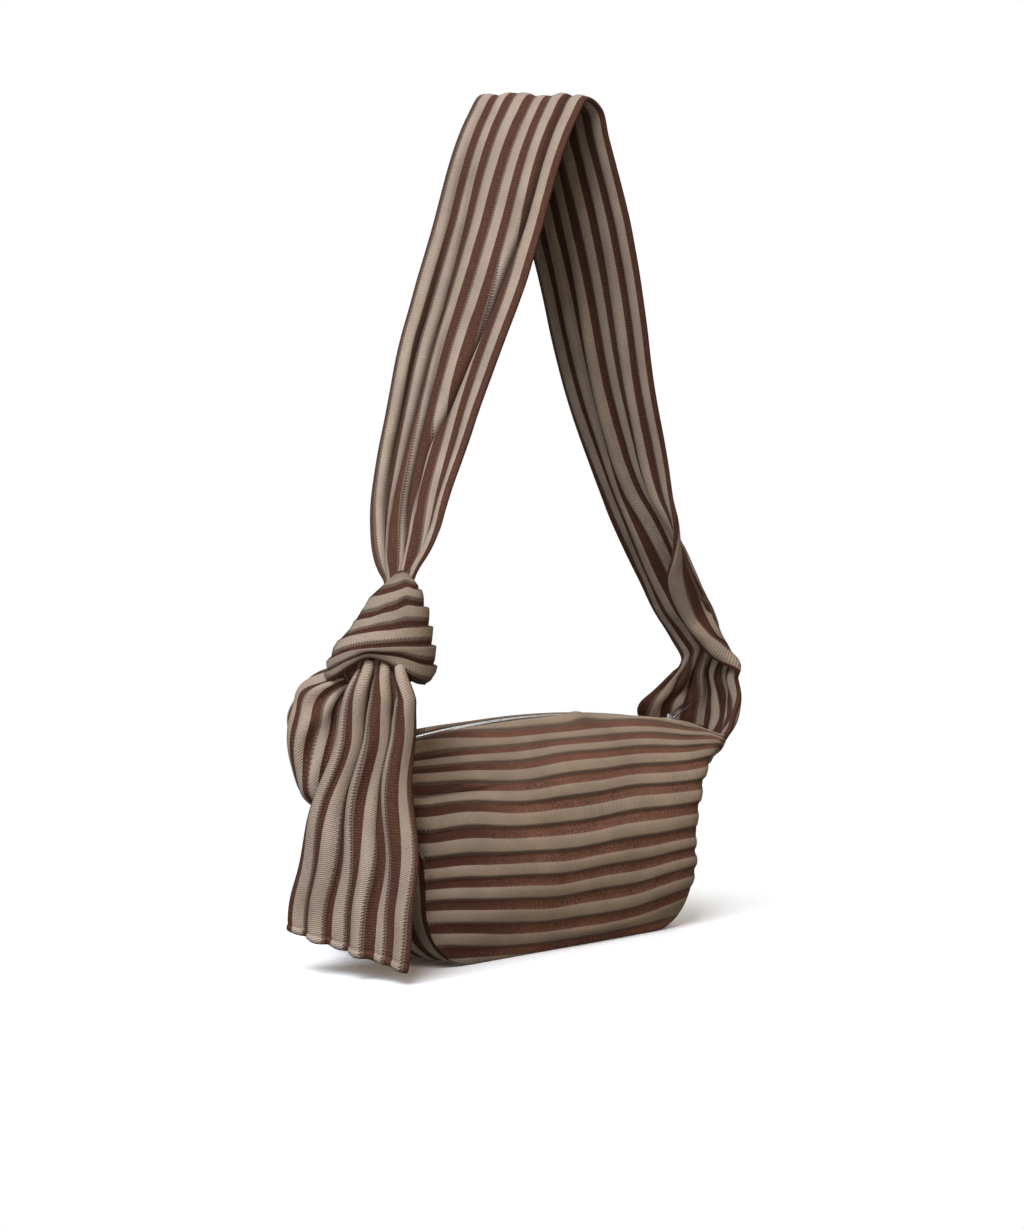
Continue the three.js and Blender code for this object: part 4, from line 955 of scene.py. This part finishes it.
# Tail: the end of the band hangs out from under the knot and spreads to its full width in soft pleats.
TAIL_HINGE = np.array([-178.0, -48.0, 178.0])
TAIL_TOP_OVER = np.array([0.5, -0.866, 0.0])
TAIL_FOOT_OVER = np.array([0.168, -0.986, 0.0])
TAIL_LENGTH = 170.0
TAIL_TOP_WIDTH = 48.0
HEM_SLOPE = 19.0  # the hem's inner corner hangs this much higher
HEM_LINE, HEM_SCALLOP = 0.968, 0.9
TAIL_PLEAT, TAIL_SWAY = 0.30, 1.8
TAIL_TUCK = 0.04  # how much narrower the dark ribs look, being tucked in


def tail_middle(share):
    """Middle line of the tail at shares of its length, with its across and outward directions."""
    over = unit(mix(TAIL_TOP_OVER, TAIL_FOOT_OVER, share[..., None]))
    out = np.stack([over[..., 1], -over[..., 0], 0 * share], -1)
    middle = TAIL_HINGE + over * (-22 * share)[..., None] + out * (3 * share)[..., None]
    middle[..., 2] -= share * TAIL_LENGTH
    return middle, over, out


share, v = np.meshgrid(np.linspace(-0.13, 1, 210), np.linspace(-1, 1, 85), indexing="ij")
middle, over, out = tail_middle(np.maximum(share, 0))
middle[..., 2] -= np.minimum(share, 0) * TAIL_LENGTH
middle -= out * (60 * np.minimum(share, 0) ** 2 / 0.1)[..., None]
middle[..., 2] += HEM_SLOPE * (1 - v) / 2 * np.maximum(share, 0)
half = mix(TAIL_TOP_WIDTH, STRAP_WIDTH, ease(share, 0, 0.95)) / 2
half *= mix(1, 0.62, ease(share, 0.02, -0.13))
bow = 3 * np.sin(np.pi * np.clip(share, 0, 1)) * (1 - v**2)
wave = mix(5.0, 2.4, ease(share, 0, 0.9)) * sine(1.45 * v + 0.12 + 0.18 * np.sin(5 * share))
wave += 1.4 * sine(2.6 * v + 0.4 + 0.3 * share)
# One narrow pleat right of the middle runs from the knot to below half way.
from_pleat = v - TAIL_PLEAT - 0.04 * np.sin(9 * share)
in_pleat = ease(share, 0.72, 0.25)
wave -= 5.0 * in_pleat * bell(from_pleat, 0.05)
sway = TAIL_SWAY * sine(1.9 * share + 0.15 * v) * ease(share, 0, 0.2) * ease(share, 1, 0.7)
surface = middle + over * (half * v + sway)[..., None] + out * (bow + wave * (1 - 0.5 * v**6))[..., None]
face = normals(surface)
turn = (v + 1) / 2 * BAND_RIBS
across = RIB * (turn + TAIL_TUCK * sine(turn) / (2 * np.pi))
thick = 1.2 + 1.9 * rib_height(across)
# The hem is turned up once and sewn, so it is thicker, with a groove at its stitches, and each light
# rib ends in a small scallop.
thick += 0.9 * ease(share, HEM_LINE, HEM_LINE + 0.008) - 0.5 * bell(share - HEM_LINE, 0.005)
thick *= 1 - 0.6 * ease(share, 0.985, 1.0) ** 2
surface[..., 2] -= HEM_SCALLOP * rib_height(across) * ease(share, 0.93, 1.0)
# The narrow pleat gets a line of painted shade.
cloth = np.stack([share * TAIL_LENGTH + 10, across, in_pleat * bell(from_pleat, 0.03)], -1)
outer, inner = surface + face * thick[..., None], surface - face * thick[..., None]
tail = stitched("tail_knit", outer, inner, cloth, knit)
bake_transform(tail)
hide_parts("tail", "tail_hem")

# Floor: a pale disc that fades out at its rim, so the background is white all round.
FLOOR_RADIUS, FLOOR_SIDES = 4, 96
floor_mesh = bpy.data.meshes.new("floor")
turn = np.linspace(0, 2 * np.pi, FLOOR_SIDES + 1)[:-1]
rim = FLOOR_RADIUS * np.stack([np.cos(turn), np.sin(turn), 0 * turn], -1)
floor_mesh.from_pydata(rim.tolist(), [], [list(range(FLOOR_SIDES))])
material, shader, place, _ = new_material("floor_paper", 0.9)
shader.inputs["Base Color"].default_value = (0.9, 0.9, 0.9, 1)
away = place.node("ShaderNodeVectorMath", {"operation": "LENGTH"}, {0: place}, output=1)
feed(shader, "Alpha", away.step(0.30, 0.14))
floor_mesh.materials.append(material)
floor = bpy.data.objects.new("floor", floor_mesh)
bpy.context.collection.objects.link(floor)
floor.visible_diffuse = False  # it throws no light back up, so the folds stay dark
